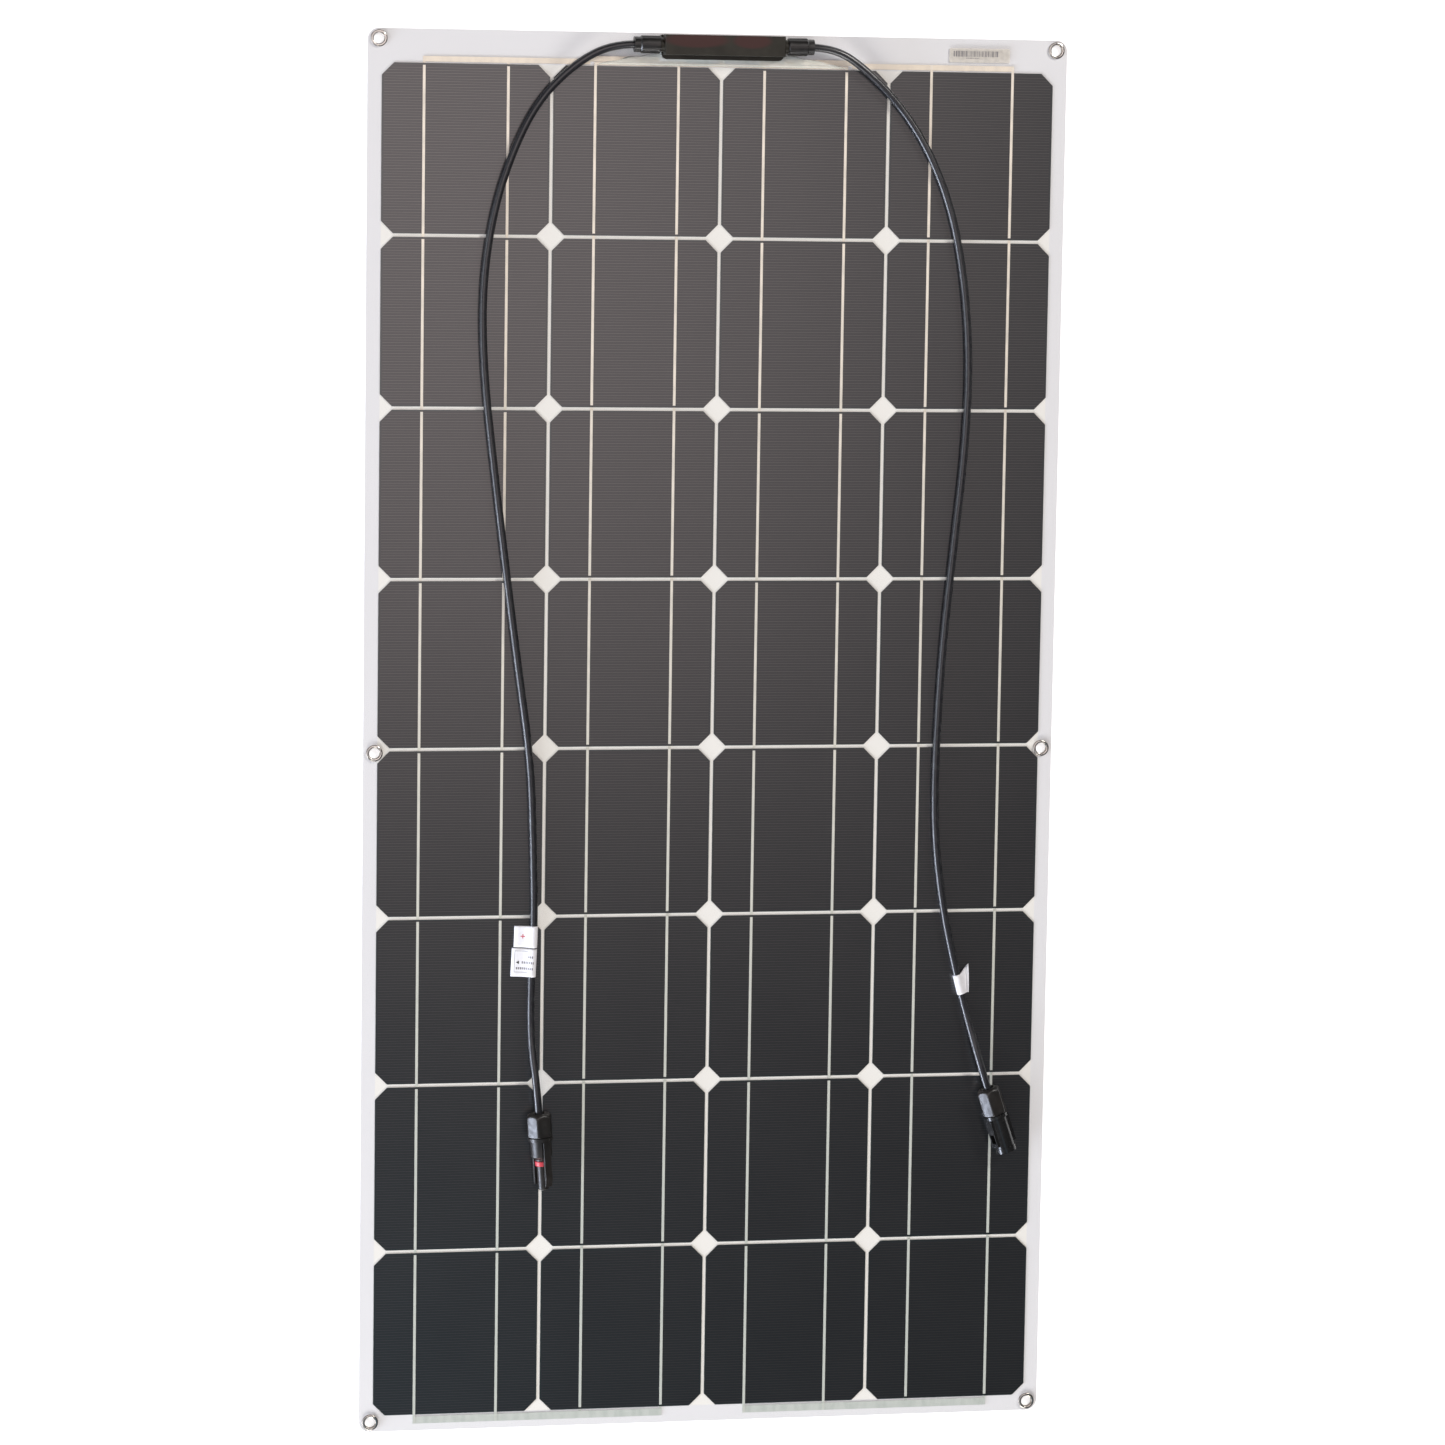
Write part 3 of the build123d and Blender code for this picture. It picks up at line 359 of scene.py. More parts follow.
# ---- material helpers
class Look:
    """A procedural material. Values that are sockets are linked, and others are set."""

    def __init__(self, name, **values):
        self.material = bpy.data.materials.new(name)
        self.material.use_nodes = True
        self.tree = self.material.node_tree
        self.shader = self.tree.nodes["Principled BSDF"]
        self.set(**values)

    def set(self, **values):
        for name, value in values.items():
            self.put(value, self.shader.inputs[name.replace("_", " ")])

    def put(self, value, socket):
        if isinstance(value, bpy.types.NodeSocket):
            self.tree.links.new(value, socket)
        elif socket.type == "RGBA":
            socket.default_value = (*value, 1.0)
        else:
            socket.default_value = value

    def add(self, kind, inputs, **settings):
        node = self.tree.nodes.new("ShaderNode" + kind)
        for key, value in settings.items():
            setattr(node, key, value)
        for key, value in inputs.items():
            self.put(value, node.inputs[key])
        return node

    def math(self, operation, *terms):
        inputs = dict(enumerate(terms))
        return self.add("Math", inputs, operation=operation).outputs[0]

    def mix(self, share, first, second):
        inputs = {0: share, 6: first, 7: second}
        return self.add("Mix", inputs, data_type="RGBA").outputs[2]

    def fade(self, value, low, high, start=0.0, end=1.0):
        inputs = {0: value, 1: low, 2: high, 3: start, 4: end}
        return self.add("MapRange", inputs, interpolation_type="SMOOTHSTEP").outputs[0]

    def place(self):
        """Metres in the piece's own frame, for a piece that stays rigid."""
        return self.add("TexCoord", {}).outputs["Object"]

    def flat(self):
        """Metres on the flat sheet, or run and turn on a tube, kept while the piece bends."""
        return self.add("UVMap", {}, uv_map="flat").outputs[0]

    def parts(self, vector):
        return self.add("SeparateXYZ", {0: vector}).outputs

    def stretch(self, vector, x, y, z):
        return self.add("VectorMath", {0: vector, 1: (x, y, z)}, operation="MULTIPLY").outputs[0]

    def noise(self, vector, scale, detail=3.0):
        inputs = {"Vector": vector, "Scale": scale, "Detail": detail}
        return self.add("TexNoise", inputs).outputs[0]

    def cell_share(self, value, middle):
        """Distance from the middle of the nearest cell, as a share of the cells' pitch."""
        pitches = self.math("ADD", self.math("DIVIDE", self.math("SUBTRACT", value, middle), PITCH), 8.0)
        return self.math("ABSOLUTE", self.math("SUBTRACT", self.math("FRACT", pitches), 0.5))

    def bump(self, height, distance, strength=1.0):
        inputs = {"Height": height, "Distance": distance, "Strength": strength}
        self.set(Normal=self.add("Bump", inputs).outputs[0])


# ---- materials
def backsheet_look():
    """White film: cool and matt in the margins, warmer between the cells."""
    look = Look("white_backsheet", Roughness=0.42, Coat_Weight=0.25, Coat_Roughness=0.35)
    flat = look.flat()
    x, y, _ = look.parts(flat)
    half_field = (COLUMNS * PITCH - CELL_GAP) / 2
    half_run = (ROWS * PITCH - CELL_GAP) / 2
    across = look.math("ABSOLUTE", x)
    along = look.math("ABSOLUTE", look.math("SUBTRACT", y, BEND_Y))
    side = look.fade(across, half_field - EDGE_BLUR, half_field + EDGE_BLUR)
    end = look.fade(along, half_run - EDGE_BLUR, half_run + EDGE_BLUR)
    corner_sum = half_field + half_run - CHAMFER
    corner = look.fade(look.math("ADD", across, along), corner_sum - EDGE_BLUR, corner_sum + EDGE_BLUR)
    margin = look.math("MAXIMUM", corner, look.math("MAXIMUM", side, end))
    colour = look.mix(margin, (0.86, 0.84, 0.78), (0.78, 0.775, 0.775))
    cloud = look.fade(look.noise(flat, 9.0), 0.3, 0.7, 0.97, 1.0)
    look.set(Base_Color=look.mix(cloud, (0.55, 0.54, 0.52), colour))
    look.bump(look.noise(flat, 900.0, 2.0), 0.00004, 0.4)
    return look.material


def silicon_look():
    """Dark coated wafer with fine metallic fingers across it and a teal rim."""
    look = Look("silicon", Roughness=0.29, IOR=1.95)
    x, y, _ = look.parts(look.flat())
    wave = look.math("FRACT", look.math("DIVIDE", y, FINGER_PITCH))
    offset = look.math("ABSOLUTE", look.math("SUBTRACT", wave, 0.5))
    across = look.cell_share(x, 0.0)
    along = look.cell_share(y, BEND_Y)
    reach = look.math("MAXIMUM", across, along)
    corner = look.math("ADD", across, along)
    rim = look.math("MAXIMUM", look.fade(reach, 0.4835, 0.4865), look.fade(corner, 0.900, 0.9045))
    inner = look.fade(reach, 0.478, 0.4795, 1.0, 0.0)
    finger = look.math("MULTIPLY", look.fade(offset, 0.02, 0.26, 1.0, 0.0), inner)
    mottle = look.noise(look.flat(), 38.0, 5.0)
    dark = look.mix(mottle, (0.0010, 0.0034, 0.0050), (0.0024, 0.0048, 0.0066))
    edged = look.mix(rim, dark, (0.002, 0.010, 0.010))
    look.set(Base_Color=look.mix(finger, edged, (0.185, 0.178, 0.176)))
    look.set(Metallic=look.fade(finger, 0.0, 0.2))
    look.bump(look.noise(look.flat(), 1400.0, 2.0), 0.00003, 0.35)
    return look.material


def tinned_look(name, bright, dull, metal, bends=False):
    """Soldered strip, slightly uneven along its length; the long ones grow greener away from the box."""
    look = Look(name, Metallic=metal, Roughness=0.42)
    place = look.flat() if bends else look.place()
    streaks = look.noise(look.stretch(place, 3.0, 1.0, 1.0), 60.0, 4.0)
    tone = look.mix(look.fade(streaks, 0.35, 0.7), bright, dull)
    if bends:
        share = look.fade(look.parts(place)[1], -0.45, 0.45, 0.75, 0.0)
        tone = look.mix(share, tone, (0.56, 0.62, 0.57))
    look.set(Base_Color=tone)
    look.bump(streaks, 0.0001, 0.3)
    return look.material


def film_look():
    """Clear front film, seen only as a slight haze with a fine texture."""
    look = Look("front_film", Base_Color=(0.62, 0.61, 0.60), Roughness=0.3)
    haze = look.noise(look.flat(), 14.0, 4.0)
    look.set(Alpha=look.fade(haze, 0.2, 0.8, 0.003, 0.007))
    look.bump(look.noise(look.flat(), 1100.0, 2.0), 0.00003, 0.5)
    return look.material


def stainless_look():
    look = Look("stainless", Metallic=1.0, Base_Color=(0.74, 0.72, 0.68))
    wear = look.noise(look.place(), 900.0, 4.0)
    look.set(Roughness=look.fade(wear, 0.3, 0.7, 0.18, 0.36))
    look.bump(wear, 0.00005, 0.25)
    return look.material


def eyelet_look():
    """Rolled steel, bright on the crown of the roll, with painted shade and a painted brown reflection
    towards both its edges.
    """
    look = Look("eyelet_steel", Metallic=1.0)
    share, turn, _ = look.parts(look.flat())
    # Painted shade and painted brown reflection: both edges of the roll, by the hole and at the flange,
    # are darkened to brown.
    edge = look.math("MAXIMUM", look.fade(share, 0.05, 0.3, 1.0, 0.0), look.fade(share, 0.72, 0.95))
    edge_shade_drift = look.fade(look.noise(look.flat(), 2.5), 0.3, 0.7, 0.6, 1.0)
    painted_edge_shade = look.mix(edge_shade_drift, (0.42, 0.36, 0.30), (0.16, 0.13, 0.10))
    look.set(Base_Color=look.mix(edge, (0.66, 0.64, 0.60), painted_edge_shade))
    look.set(Roughness=look.fade(turn, 0.0, 1.0, 0.2, 0.32))
    look.bump(look.noise(look.place(), 900.0, 4.0), 0.00004, 0.25)
    return look.material


def plastic_look(name, colour, tint, rough, grain=0.00003):
    """Moulded plastic with a fine spark texture and a slow drift in tone."""
    look = Look(name)
    place = look.place()
    drift = look.fade(look.noise(place, 45.0), 0.35, 0.7)
    look.set(Base_Color=look.mix(drift, colour, tint))
    look.set(Roughness=look.fade(look.noise(place, 260.0), 0.3, 0.7, rough - 0.06, rough + 0.08))
    look.bump(look.noise(place, 2600.0, 2.0), grain, 0.5)
    return look.material


def box_look():
    """Junction box plastic: olive black, with two soft reddish patches towards the lid's rear edge."""
    look = Look("box_plastic", Specular_IOR_Level=0.22)
    place = look.place()
    x, y, _ = look.parts(place)
    patch_y = 0.5225
    patch_depth = 0.0062
    patches = 0.0
    for patch_x, patch_reach in ((-0.0215, 0.026), (0.0200, 0.016)):
        aside = look.math("DIVIDE", look.math("SUBTRACT", x, patch_x), patch_reach)
        back = look.math("DIVIDE", look.math("SUBTRACT", y, patch_y), patch_depth)
        away = look.math("ADD", look.math("POWER", aside, 2.0), look.math("POWER", back, 2.0))
        patches = look.math("MAXIMUM", patches, look.fade(away, 0.45, 1.1, 1.0, 0.0))
    drift = look.fade(look.noise(place, 60.0), 0.35, 0.7)
    olive = look.mix(drift, (0.022, 0.020, 0.015), (0.032, 0.029, 0.022))
    look.set(Base_Color=look.mix(patches, olive, (0.052, 0.023, 0.020)))
    look.set(Roughness=look.fade(look.noise(place, 260.0), 0.3, 0.7, 0.36, 0.48))
    look.bump(look.noise(place, 2600.0, 2.0), 0.00003, 0.5)
    return look.material


def jacket_look():
    """Extruded cable jacket, with faint streaks along it."""
    look = Look("cable_jacket", Coat_Weight=0.45, Coat_Roughness=0.42)
    flat = look.flat()
    streaks = look.noise(look.stretch(flat, 6.0, 14.0, 1.0), 3.0, 4.0)
    scuffs = look.noise(look.stretch(flat, 90.0, 12.0, 1.0), 1.0, 4.0)
    look.set(Base_Color=look.mix(streaks, (0.008, 0.008, 0.010), (0.017, 0.017, 0.020)))
    look.set(Roughness=look.fade(scuffs, 0.3, 0.7, 0.22, 0.32))
    look.bump(streaks, 0.00008, 0.3)
    return look.material


def paper_look(name, colour):
    """Coated label stock, or a thin print on it."""
    look = Look(name, Roughness=0.22)
    fibre = look.noise(look.place(), 420.0, 4.0)
    look.set(Base_Color=look.mix(look.fade(fibre, 0.3, 0.7, 0.0, 0.12), colour, (0.45, 0.44, 0.42)))
    look.bump(fibre, 0.00004, 0.3)
    return look.material


def gel_look():
    """Cured clear silicone: faintly green and milky, with a painted shade line, grey and less clear,
    along both edges where it thins out.
    """
    look = Look("clear_adhesive", Roughness=0.14)
    share = look.parts(look.flat())[1]
    # Painted shade: a grey line along both edges of the bead stands in for the shadow and refraction
    # there, and its opacity is raised with it.
    edge = look.math("MAXIMUM", look.fade(share, 0.0, 0.05, 1.0, 0.0), look.fade(share, 0.93, 0.99))
    streaks = look.fade(look.noise(look.stretch(look.flat(), 60.0, 2.2, 1.0), 1.0, 4.0), 0.38, 0.66)
    milky = look.mix(streaks, (0.95, 0.97, 0.91), (0.78, 0.83, 0.76))
    look.set(Base_Color=look.mix(edge, milky, (0.40, 0.42, 0.38)))
    milkiness_and_edge_shade = look.math("ADD", edge, look.math("MULTIPLY", streaks, 0.3))
    look.set(Alpha=look.fade(milkiness_and_edge_shade, 0.0, 1.2, 0.30, 0.75))
    look.bump(look.noise(look.place(), 210.0), 0.0004, 0.6)
    return look.material


def sticker_look():
    """Half-clear cream sticker."""
    look = Look("cream_sticker", Roughness=0.3)
    fibre = look.noise(look.place(), 300.0)
    look.set(Base_Color=look.mix(fibre, (0.84, 0.78, 0.68), (0.88, 0.83, 0.74)))
    look.set(Alpha=look.fade(fibre, 0.3, 0.7, 0.5, 0.62))
    return look.material


def make_looks():
    black = (0.012, 0.0115, 0.011)
    gloss = (0.012, 0.012, 0.012)
    return {
        "backsheet": backsheet_look(),
        "silicon": silicon_look(),
        "tinned": tinned_look("tinned_copper", (0.88, 0.80, 0.68), (0.74, 0.68, 0.58), 0.25, True),
        "tinned_rigid": tinned_look("tinned_plate", (0.80, 0.77, 0.70), (0.66, 0.64, 0.58), 0.8),
        "bottom_bus": tinned_look("bottom_bus_strip", (0.58, 0.61, 0.56), (0.50, 0.54, 0.49), 0.1),
        "top_bus": tinned_look("top_bus_strip", (0.86, 0.76, 0.62), (0.78, 0.69, 0.57), 0.1),
        "film": film_look(),
        "stainless": stainless_look(),
        "eyelet": eyelet_look(),
        "plastic": plastic_look("black_plastic", black, (0.022, 0.019, 0.017), 0.34),
        "box": box_look(),
        "gloss": plastic_look("socket_plastic", gloss, (0.018, 0.017, 0.016), 0.17, 0.00001),
        "rubber": plastic_look("black_rubber", (0.016, 0.016, 0.016), (0.024, 0.024, 0.024), 0.6),
        "potting": plastic_look("potting", (0.025, 0.025, 0.025), (0.035, 0.035, 0.035), 0.5),
        "diode": plastic_look("diode_body", (0.018, 0.018, 0.018), (0.026, 0.026, 0.026), 0.35),
        "jacket": jacket_look(),
        "label": paper_look("white_label", (0.84, 0.83, 0.85)),
        "ink": paper_look("black_ink", (0.02, 0.02, 0.02)),
        "grey_ink": paper_look("grey_ink", (0.20, 0.19, 0.20)),
        "red_ink": paper_look("red_ink", (0.62, 0.10, 0.14)),
        "gel": gel_look(),
        "sticker": sticker_look(),
        "contact": stainless_look(),
        "red": plastic_look("red_rubber", (0.62, 0.060, 0.075), (0.50, 0.045, 0.06), 0.4),
    }


# ---- sheet layers
def eyelet_places():
    rows = (EYELET_Y, MIDDLE_EYELET_Y, -EYELET_Y)
    return [(side * EYELET_X, y) for y in rows for side in (-1, 1)]


def make_layer(name, low, high, look, nodes):
    """One continuous layer with its eyelet holes, for the two CAD halves that it stands for."""
    bm = bmesh.new()
    outlines = [rounded_rectangle(HALF_WIDTH, HALF_LENGTH, CORNER_RADIUS)]
    outlines += [circle(x, y, EYELET_BARREL) for x, y in eyelet_places()]
    for outline in outlines:
        ring = [bm.verts.new((x, y, low)) for x, y in outline]
        for start, end in zip(ring, ring[1:] + ring[:1]):
            bm.edges.new((start, end))
    bmesh.ops.triangle_fill(bm, use_beauty=True, use_dissolve=False, edges=bm.edges[:])
    cut_rows(bm, -HALF_LENGTH, HALF_LENGTH)
    extrude(bm, bm.faces[:], (0, 0, high - low))
    layer = make_object(name, bm, look)
    store_flat(layer)
    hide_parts(*nodes)
    follow_sheet(layer)


def column_x(column):
    return (column - (COLUMNS - 1) / 2) * PITCH


def row_y(row):
    return BEND_Y + ((ROWS - 1) / 2 - row) * PITCH


def make_cell_row(row, look):
    """Four wafers with cut corners."""
    bm = bmesh.new()
    half = CELL / 2
    cut = half - CHAMFER
    corners = [(half, -cut), (half, cut), (cut, half), (-cut, half)]
    corners += [(-x, -y) for x, y in corners]
    for column in range(COLUMNS):
        outline = [(column_x(column) + x, row_y(row) + y) for x, y in corners]
        add_prism(bm, outline, CELL_BACK, CELL_FRONT)
    cut_rows(bm, row_y(row) - half, row_y(row) + half)
    made = make_object(f"wafers_row_{row + 1}", bm, look)
    store_flat(made)
    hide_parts(f"cell_row_{row + 1}")
    follow_sheet(made)


def add_ribbon(bm, x, outline):
    """A folded strip whose side view, (y, z) points, is carried across its width."""
    half = RIBBON_WIDTH / 2
    face = bm.faces.new([bm.verts.new((x - half, y, z)) for y, z in outline])
    extrude(bm, [face], (RIBBON_WIDTH, 0, 0))


def bus_reach(column, row):
    """How far past its cell a column's last ribbon reaches, over the bus."""
    if row != 0:
        return BOTTOM_BUS_REACH
    return OUTER_BUS_REACH if column in (0, COLUMNS - 1) else INNER_BUS_REACH


def ribbon_outline(column, row):
    """Side view of the ribbon on a cell's front, which dives under the next cell."""
    onward = -1 if column % 2 == 0 else 1
    start = row_y(row) - onward * (CELL / 2 - RIBBON_INSET)
    edge = row_y(row) + onward * CELL / 2
    top = CELL_FRONT + RIBBON_THICKNESS
    if not 0 <= row - onward < ROWS:
        end = edge + onward * bus_reach(column, row)
        return [(start, CELL_FRONT), (start, top), (end, top), (end, CELL_FRONT)]
    fold = edge + onward * RIBBON_FOLD
    fold_end = fold + onward * RIBBON_THICKNESS
    tail = edge + onward * RIBBON_TAIL
    under = CELL_BACK - RIBBON_THICKNESS
    return [(start, CELL_FRONT), (start, top), (fold_end, top), (fold_end, CELL_BACK),
            (tail, CELL_BACK), (tail, under), (fold, under), (fold, CELL_FRONT)]


def back_outline(column):
    """Side view of the ribbon from under a column's last cell out to its bus."""
    outward = 1 if column % 2 == 0 else -1
    row = 0 if outward > 0 else ROWS - 1
    edge = row_y(row) + outward * CELL / 2
    start = edge - outward * BACK_RIBBON
    end = edge + outward * bus_reach(column, row)
    under = CELL_BACK - RIBBON_THICKNESS
    return [(start, under), (start, CELL_BACK), (end, CELL_BACK), (end, under)]


def make_ribbon_row(row, look):
    """Two ribbons to a cell, and those that come out from under a column's last cell."""
    bm = bmesh.new()
    for column in range(COLUMNS):
        for offset in (-RIBBON_OFFSET, RIBBON_OFFSET):
            x = column_x(column) + offset
            add_ribbon(bm, x, ribbon_outline(column, row))
            if row == (0 if column % 2 == 0 else ROWS - 1):
                add_ribbon(bm, x, back_outline(column))
    cut_rows(bm, row_y(row) - PITCH, row_y(row) + PITCH)
    made = make_object(f"ribbons_row_{row + 1}", bm, look)
    store_flat(made)
    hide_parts(f"tabbing_ribbons_row_{row + 1}")
    follow_sheet(made)


def make_sheet(looks):
    sheet_nodes = ("front_film_upper", "front_film_lower", "encapsulant_upper", "encapsulant_lower")
    make_layer("laminate_film", FILM_FOOT, SHEET_TOP, looks["film"], sheet_nodes)
    make_layer("laminate_backsheet", 0.0, BACKSHEET_TOP, looks["backsheet"],
               ("backsheet_upper", "backsheet_lower"))
    for row in range(ROWS):
        make_cell_row(row, looks["silicon"])
        make_ribbon_row(row, looks["tinned"])


# ---- eyelets
def eyelet_profile():
    """Barrel and rolled head as (height, radius) points, from the barrel's foot up and over."""
    middle = (EYELET_HOLE + EYELET_FLANGE) / 2
    half = (EYELET_FLANGE - EYELET_HOLE) / 2
    lip = []
    for step in range(EYELET_STEPS + 1):
        angle = pi * step / EYELET_STEPS
        lip.append((SHEET_TOP + EYELET_ROLL * max(0.0, sin(angle)) ** 0.7, middle - half * cos(angle)))
    return [(0.0, EYELET_HOLE)] + lip + [(SHEET_TOP, EYELET_BARREL), (0.0, EYELET_BARREL)]


def make_eyelets(looks):
    """Rolled heads: a smooth lip turned over from the hole on to the film."""
    upright = Matrix.Rotation(-pi / 2, 4, "Y")
    for name, ys in (("upper", (EYELET_Y, MIDDLE_EYELET_Y)), ("lower", (-EYELET_Y,))):
        places = [(side * EYELET_X, y) for y in ys for side in (-1, 1)]
        heads = bmesh.new()
        for x, y in places:
            one = turned(eyelet_profile())
            one.transform(Matrix.Translation((x, y, 0)) @ upright)
            part = bpy.data.meshes.new("eyelet")
            one.to_mesh(part)
            one.free()
            heads.from_mesh(part)
        made = make_object(f"eyelet_heads_{name}", heads, looks["eyelet"], smooth=True)
        layer = made.data.uv_layers.new(name="flat")
        for loop in made.data.loops:
            spot = made.data.vertices[loop.vertex_index].co
            away = min((Vector((spot.x - x, spot.y - y)) for x, y in places), key=lambda gap: gap.length)
            share = (away.length - EYELET_HOLE) / (EYELET_FLANGE - EYELET_HOLE)
            layer.data[loop.index].uv = (share, abs(atan2(away.y, away.x)) / pi)
        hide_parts(f"eyelets_{name}")
        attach(made, f"sheet_{name}")


# ---- pieces from CAD shapes
def refined(node, look, body, width):
    """A node's own shape in black plastic, with its moulded edges rounded off."""
    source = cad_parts[node]
    bm = bmesh.new()
    bm.from_mesh(source.data)
    bmesh.ops.remove_doubles(bm, verts=bm.verts, dist=1e-6)
    bmesh.ops.dissolve_limit(bm, angle_limit=radians(0.5), verts=bm.verts, edges=bm.edges)
    made = make_object(f"{node}_moulded", bm, look)
    soften(made, width)
    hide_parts(node)
    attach(made, body)
    return made


# ---- junction box
def make_box(looks):
    """The junction box's moulded pieces and the nuts of its two glands."""
    refined("box_base", looks["box"], "sheet_upper", 0.35 * MM)
    refined("box_lid", looks["box"], "sheet_upper", 0.45 * MM)
    refined("gland_nut_left", looks["plastic"], "gland_nut_left", 0.15 * MM)
    refined("gland_nut_right", looks["plastic"], "gland_nut_right", 0.15 * MM)


def bead_depth(x, half):
    """How far the squeezed-out adhesive reaches from its straight edge to its arched one, at one X."""
    radius = (half ** 2 + BEAD_CREST ** 2) / (2 * BEAD_CREST)
    return (radius ** 2 - min(abs(x), half) ** 2) ** 0.5 - radius + BEAD_CREST


def bead_section(x, half, front):
    """Points of the squeezed-out adhesive at one X, from its straight edge to its arched one."""
    depth = bead_depth(x, half)
    points = []
    for step in range(BEAD_STEPS + 1):
        share = step / BEAD_STEPS
        swell = (4 * share * (1 - share)) ** 0.4 * min(1.0, depth / (3.0 * MM))
        coarse = noise.noise(Vector((x * 95, share * 1.6, 2.0)))
        fine = noise.noise(Vector((x * 330, share * 3, 7.0)))
        waver = 0.9 * MM * noise.noise(Vector((x * 120, 5.0 * share, 4.0))) * min(1.0, depth / (4.0 * MM))
        height = BEAD_HEIGHT * swell * (1 + 0.5 * (coarse + 0.6 * fine))
        points.append((x, front + share * depth + waver * share, SHEET_TOP + height))
    return points


def make_bead(looks):
    """Clear silicone under the box, squeezed out in front of it and past both its ends."""
    low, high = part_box("box_adhesive")
    bm = bmesh.new()
    sections = []
    for step in range(BEAD_SECTIONS + 1):
        x = low.x + (high.x - low.x) * step / BEAD_SECTIONS
        sections.append([bm.verts.new(point) for point in bead_section(x, high.x, low.y)])
    for near, far in zip(sections, sections[1:]):
        for i in range(BEAD_STEPS):
            bm.faces.new((near[i], far[i], far[i + 1], near[i + 1]))
        bm.faces.new((near[0], near[-1], far[-1], far[0]))
    bmesh.ops.remove_doubles(bm, verts=bm.verts, dist=1e-5)
    add_block(bm, -BED_END, BED_END, low.y + BED_SETBACK, high.y, SHEET_TOP, high.z)
    made = make_object("squeezed_adhesive", bm, looks["gel"], smooth=True)
    layer = made.data.uv_layers.new(name="flat")
    for loop in made.data.loops:
        place = made.data.vertices[loop.vertex_index].co
        depth = max(bead_depth(place.x, high.x), 0.2 * MM)
        layer.data[loop.index].uv = (place.x, (place.y - low.y) / depth)
    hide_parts("box_adhesive")
    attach(made, "sheet_upper")


# ---- labels
def point_along(points, distance):
    """Point and direction at a distance along a line of points."""
    for before, after in zip(points, points[1:]):
        length = (after - before).length
        if distance <= length:
            return before.lerp(after, distance / length), (after - before).normalized()
        distance -= length
    return points[-1], (points[-1] - points[-2]).normalized()


def line_length(points):
    return sum((after - before).length for before, after in zip(points, points[1:]))


# A label's own sizes are in mm, and so are the places of its marks.
PAPER_CLEARANCE = 0.18
PAPER_THICKNESS = 0.12
PLY_GAP = 0.14
PLY_PARTING = -7.0            # where the two plies of a flag part to go round the cable
PLY_OPENING = 1.2 / 3.4
LOOP_HALF_ANGLE = 140
LOOP_STEPS = 28
INK_PROUD = 0.09
RUN_STEP = 1.5
AROUND_STEP = 0.5


def wrap_section(reach, lift):
    """Section of a flag label in mm: in along its front ply, round the cable, and out again."""
    flag = abs(reach)
    radius = CABLE_RADIUS / MM + PAPER_CLEARANCE
    turns = [radians(LOOP_HALF_ANGLE * (1 - 2 * i / LOOP_STEPS)) for i in range(LOOP_STEPS + 1)]
    loop = [(radius * cos(turn), radius * sin(turn)) for turn in turns]
    front = [(-flag, lift - 0.9), (-0.6 * flag - 2, lift * 0.4 - 0.75)]
    front += [(PLY_PARTING, -0.45), (-5.0, 0.3), (-3.6, 1.15)]
    front = [(x, z) for x, z in front if x >= -flag]
    back = [(x, z - PLY_GAP - PLY_OPENING * max(0.0, x - PLY_PARTING)) for x, z in reversed(front)]
    side = -1 if reach > 0 else 1
    return [(side * x, z) for x, z in front + loop + back]


class Wrap:
    """The surface of a flag label: run along the cable and way round its section, both in mm.

    Its reach is how far the flag stands out, to the left of the cable's run when positive, its
    lift how high the flag's edge rises, and its skew and point how far that edge is out of square.
    """

    def __init__(self, points, middle, length, reach, lift=0.0, skew=0.0, point=0.0):
        self.points = points
        self.start = middle - length * MM / 2
        self.length = length
        self.section = wrap_section(reach, lift)
        self.skew = skew
        self.point = point
        self.flag = abs(reach)

    def place(self, run, around, proud):
        """Where a spot on the label is, standing proud of the paper's middle."""
        travelled = 0.0
        for before, after in zip(self.section, self.section[1:]):
            step = hypot(after[0] - before[0], after[1] - before[1])
            if around <= travelled + step or after == self.section[-1]:
                share = (around - travelled) / step
                across = before[0] + (after[0] - before[0]) * share
                height = before[1] + (after[1] - before[1]) * share
                normal = ((before[1] - after[1]) / step, (after[0] - before[0]) / step)
                break
            travelled += step
        if self.section[0][0] > 0:
            normal = (-normal[0], -normal[1])
        outward = max(0.0, abs(across) - CABLE_RADIUS / MM) / (self.flag - CABLE_RADIUS / MM)
        across += outward * self.skew * (0.5 - run / self.length) * (1 if across > 0 else -1)
        run -= outward * self.point * (1 - run / self.length) ** 2
        centre, tangent = point_along(self.points, self.start + run * MM)
        aside = Vector((0, 0, 1)).cross(tangent).normalized()
        up = tangent.cross(aside)
        return centre + aside * (across + normal[0] * proud) * MM + up * (height + normal[1] * proud) * MM


def surface_patch(bm, wrap, runs, arounds, proud):
    """A grid over part of a wrap, standing proud of it."""
    grid = [[bm.verts.new(wrap.place(run, around, proud)) for around in arounds] for run in runs]
    for row, following in zip(grid, grid[1:]):
        for i in range(len(row) - 1):
            bm.faces.new((row[i], row[i + 1], following[i + 1], following[i]))


def spread(low, high, step):
    """Even values from low to high, about a step apart."""
    count = max(1, round((high - low) / step))
    return [low + (high - low) * i / count for i in range(count + 1)]


def make_label(name, node, wrap, look):
    """A flag label folded round its cable, as paper of even thickness."""
    bm = bmesh.new()
    around = [0.0]
    for before, after in zip(wrap.section, wrap.section[1:]):
        around.append(around[-1] + hypot(after[0] - before[0], after[1] - before[1]))
    surface_patch(bm, wrap, spread(0.0, wrap.length, RUN_STEP), around, 0.0)
    made = make_object(name, bm, look, smooth=True)
    solid = made.modifiers.new("paper", "SOLIDIFY")
    solid.thickness = PAPER_THICKNESS * MM
    solid.offset = 0.0
    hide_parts(node)
    return follow_sheet(made)


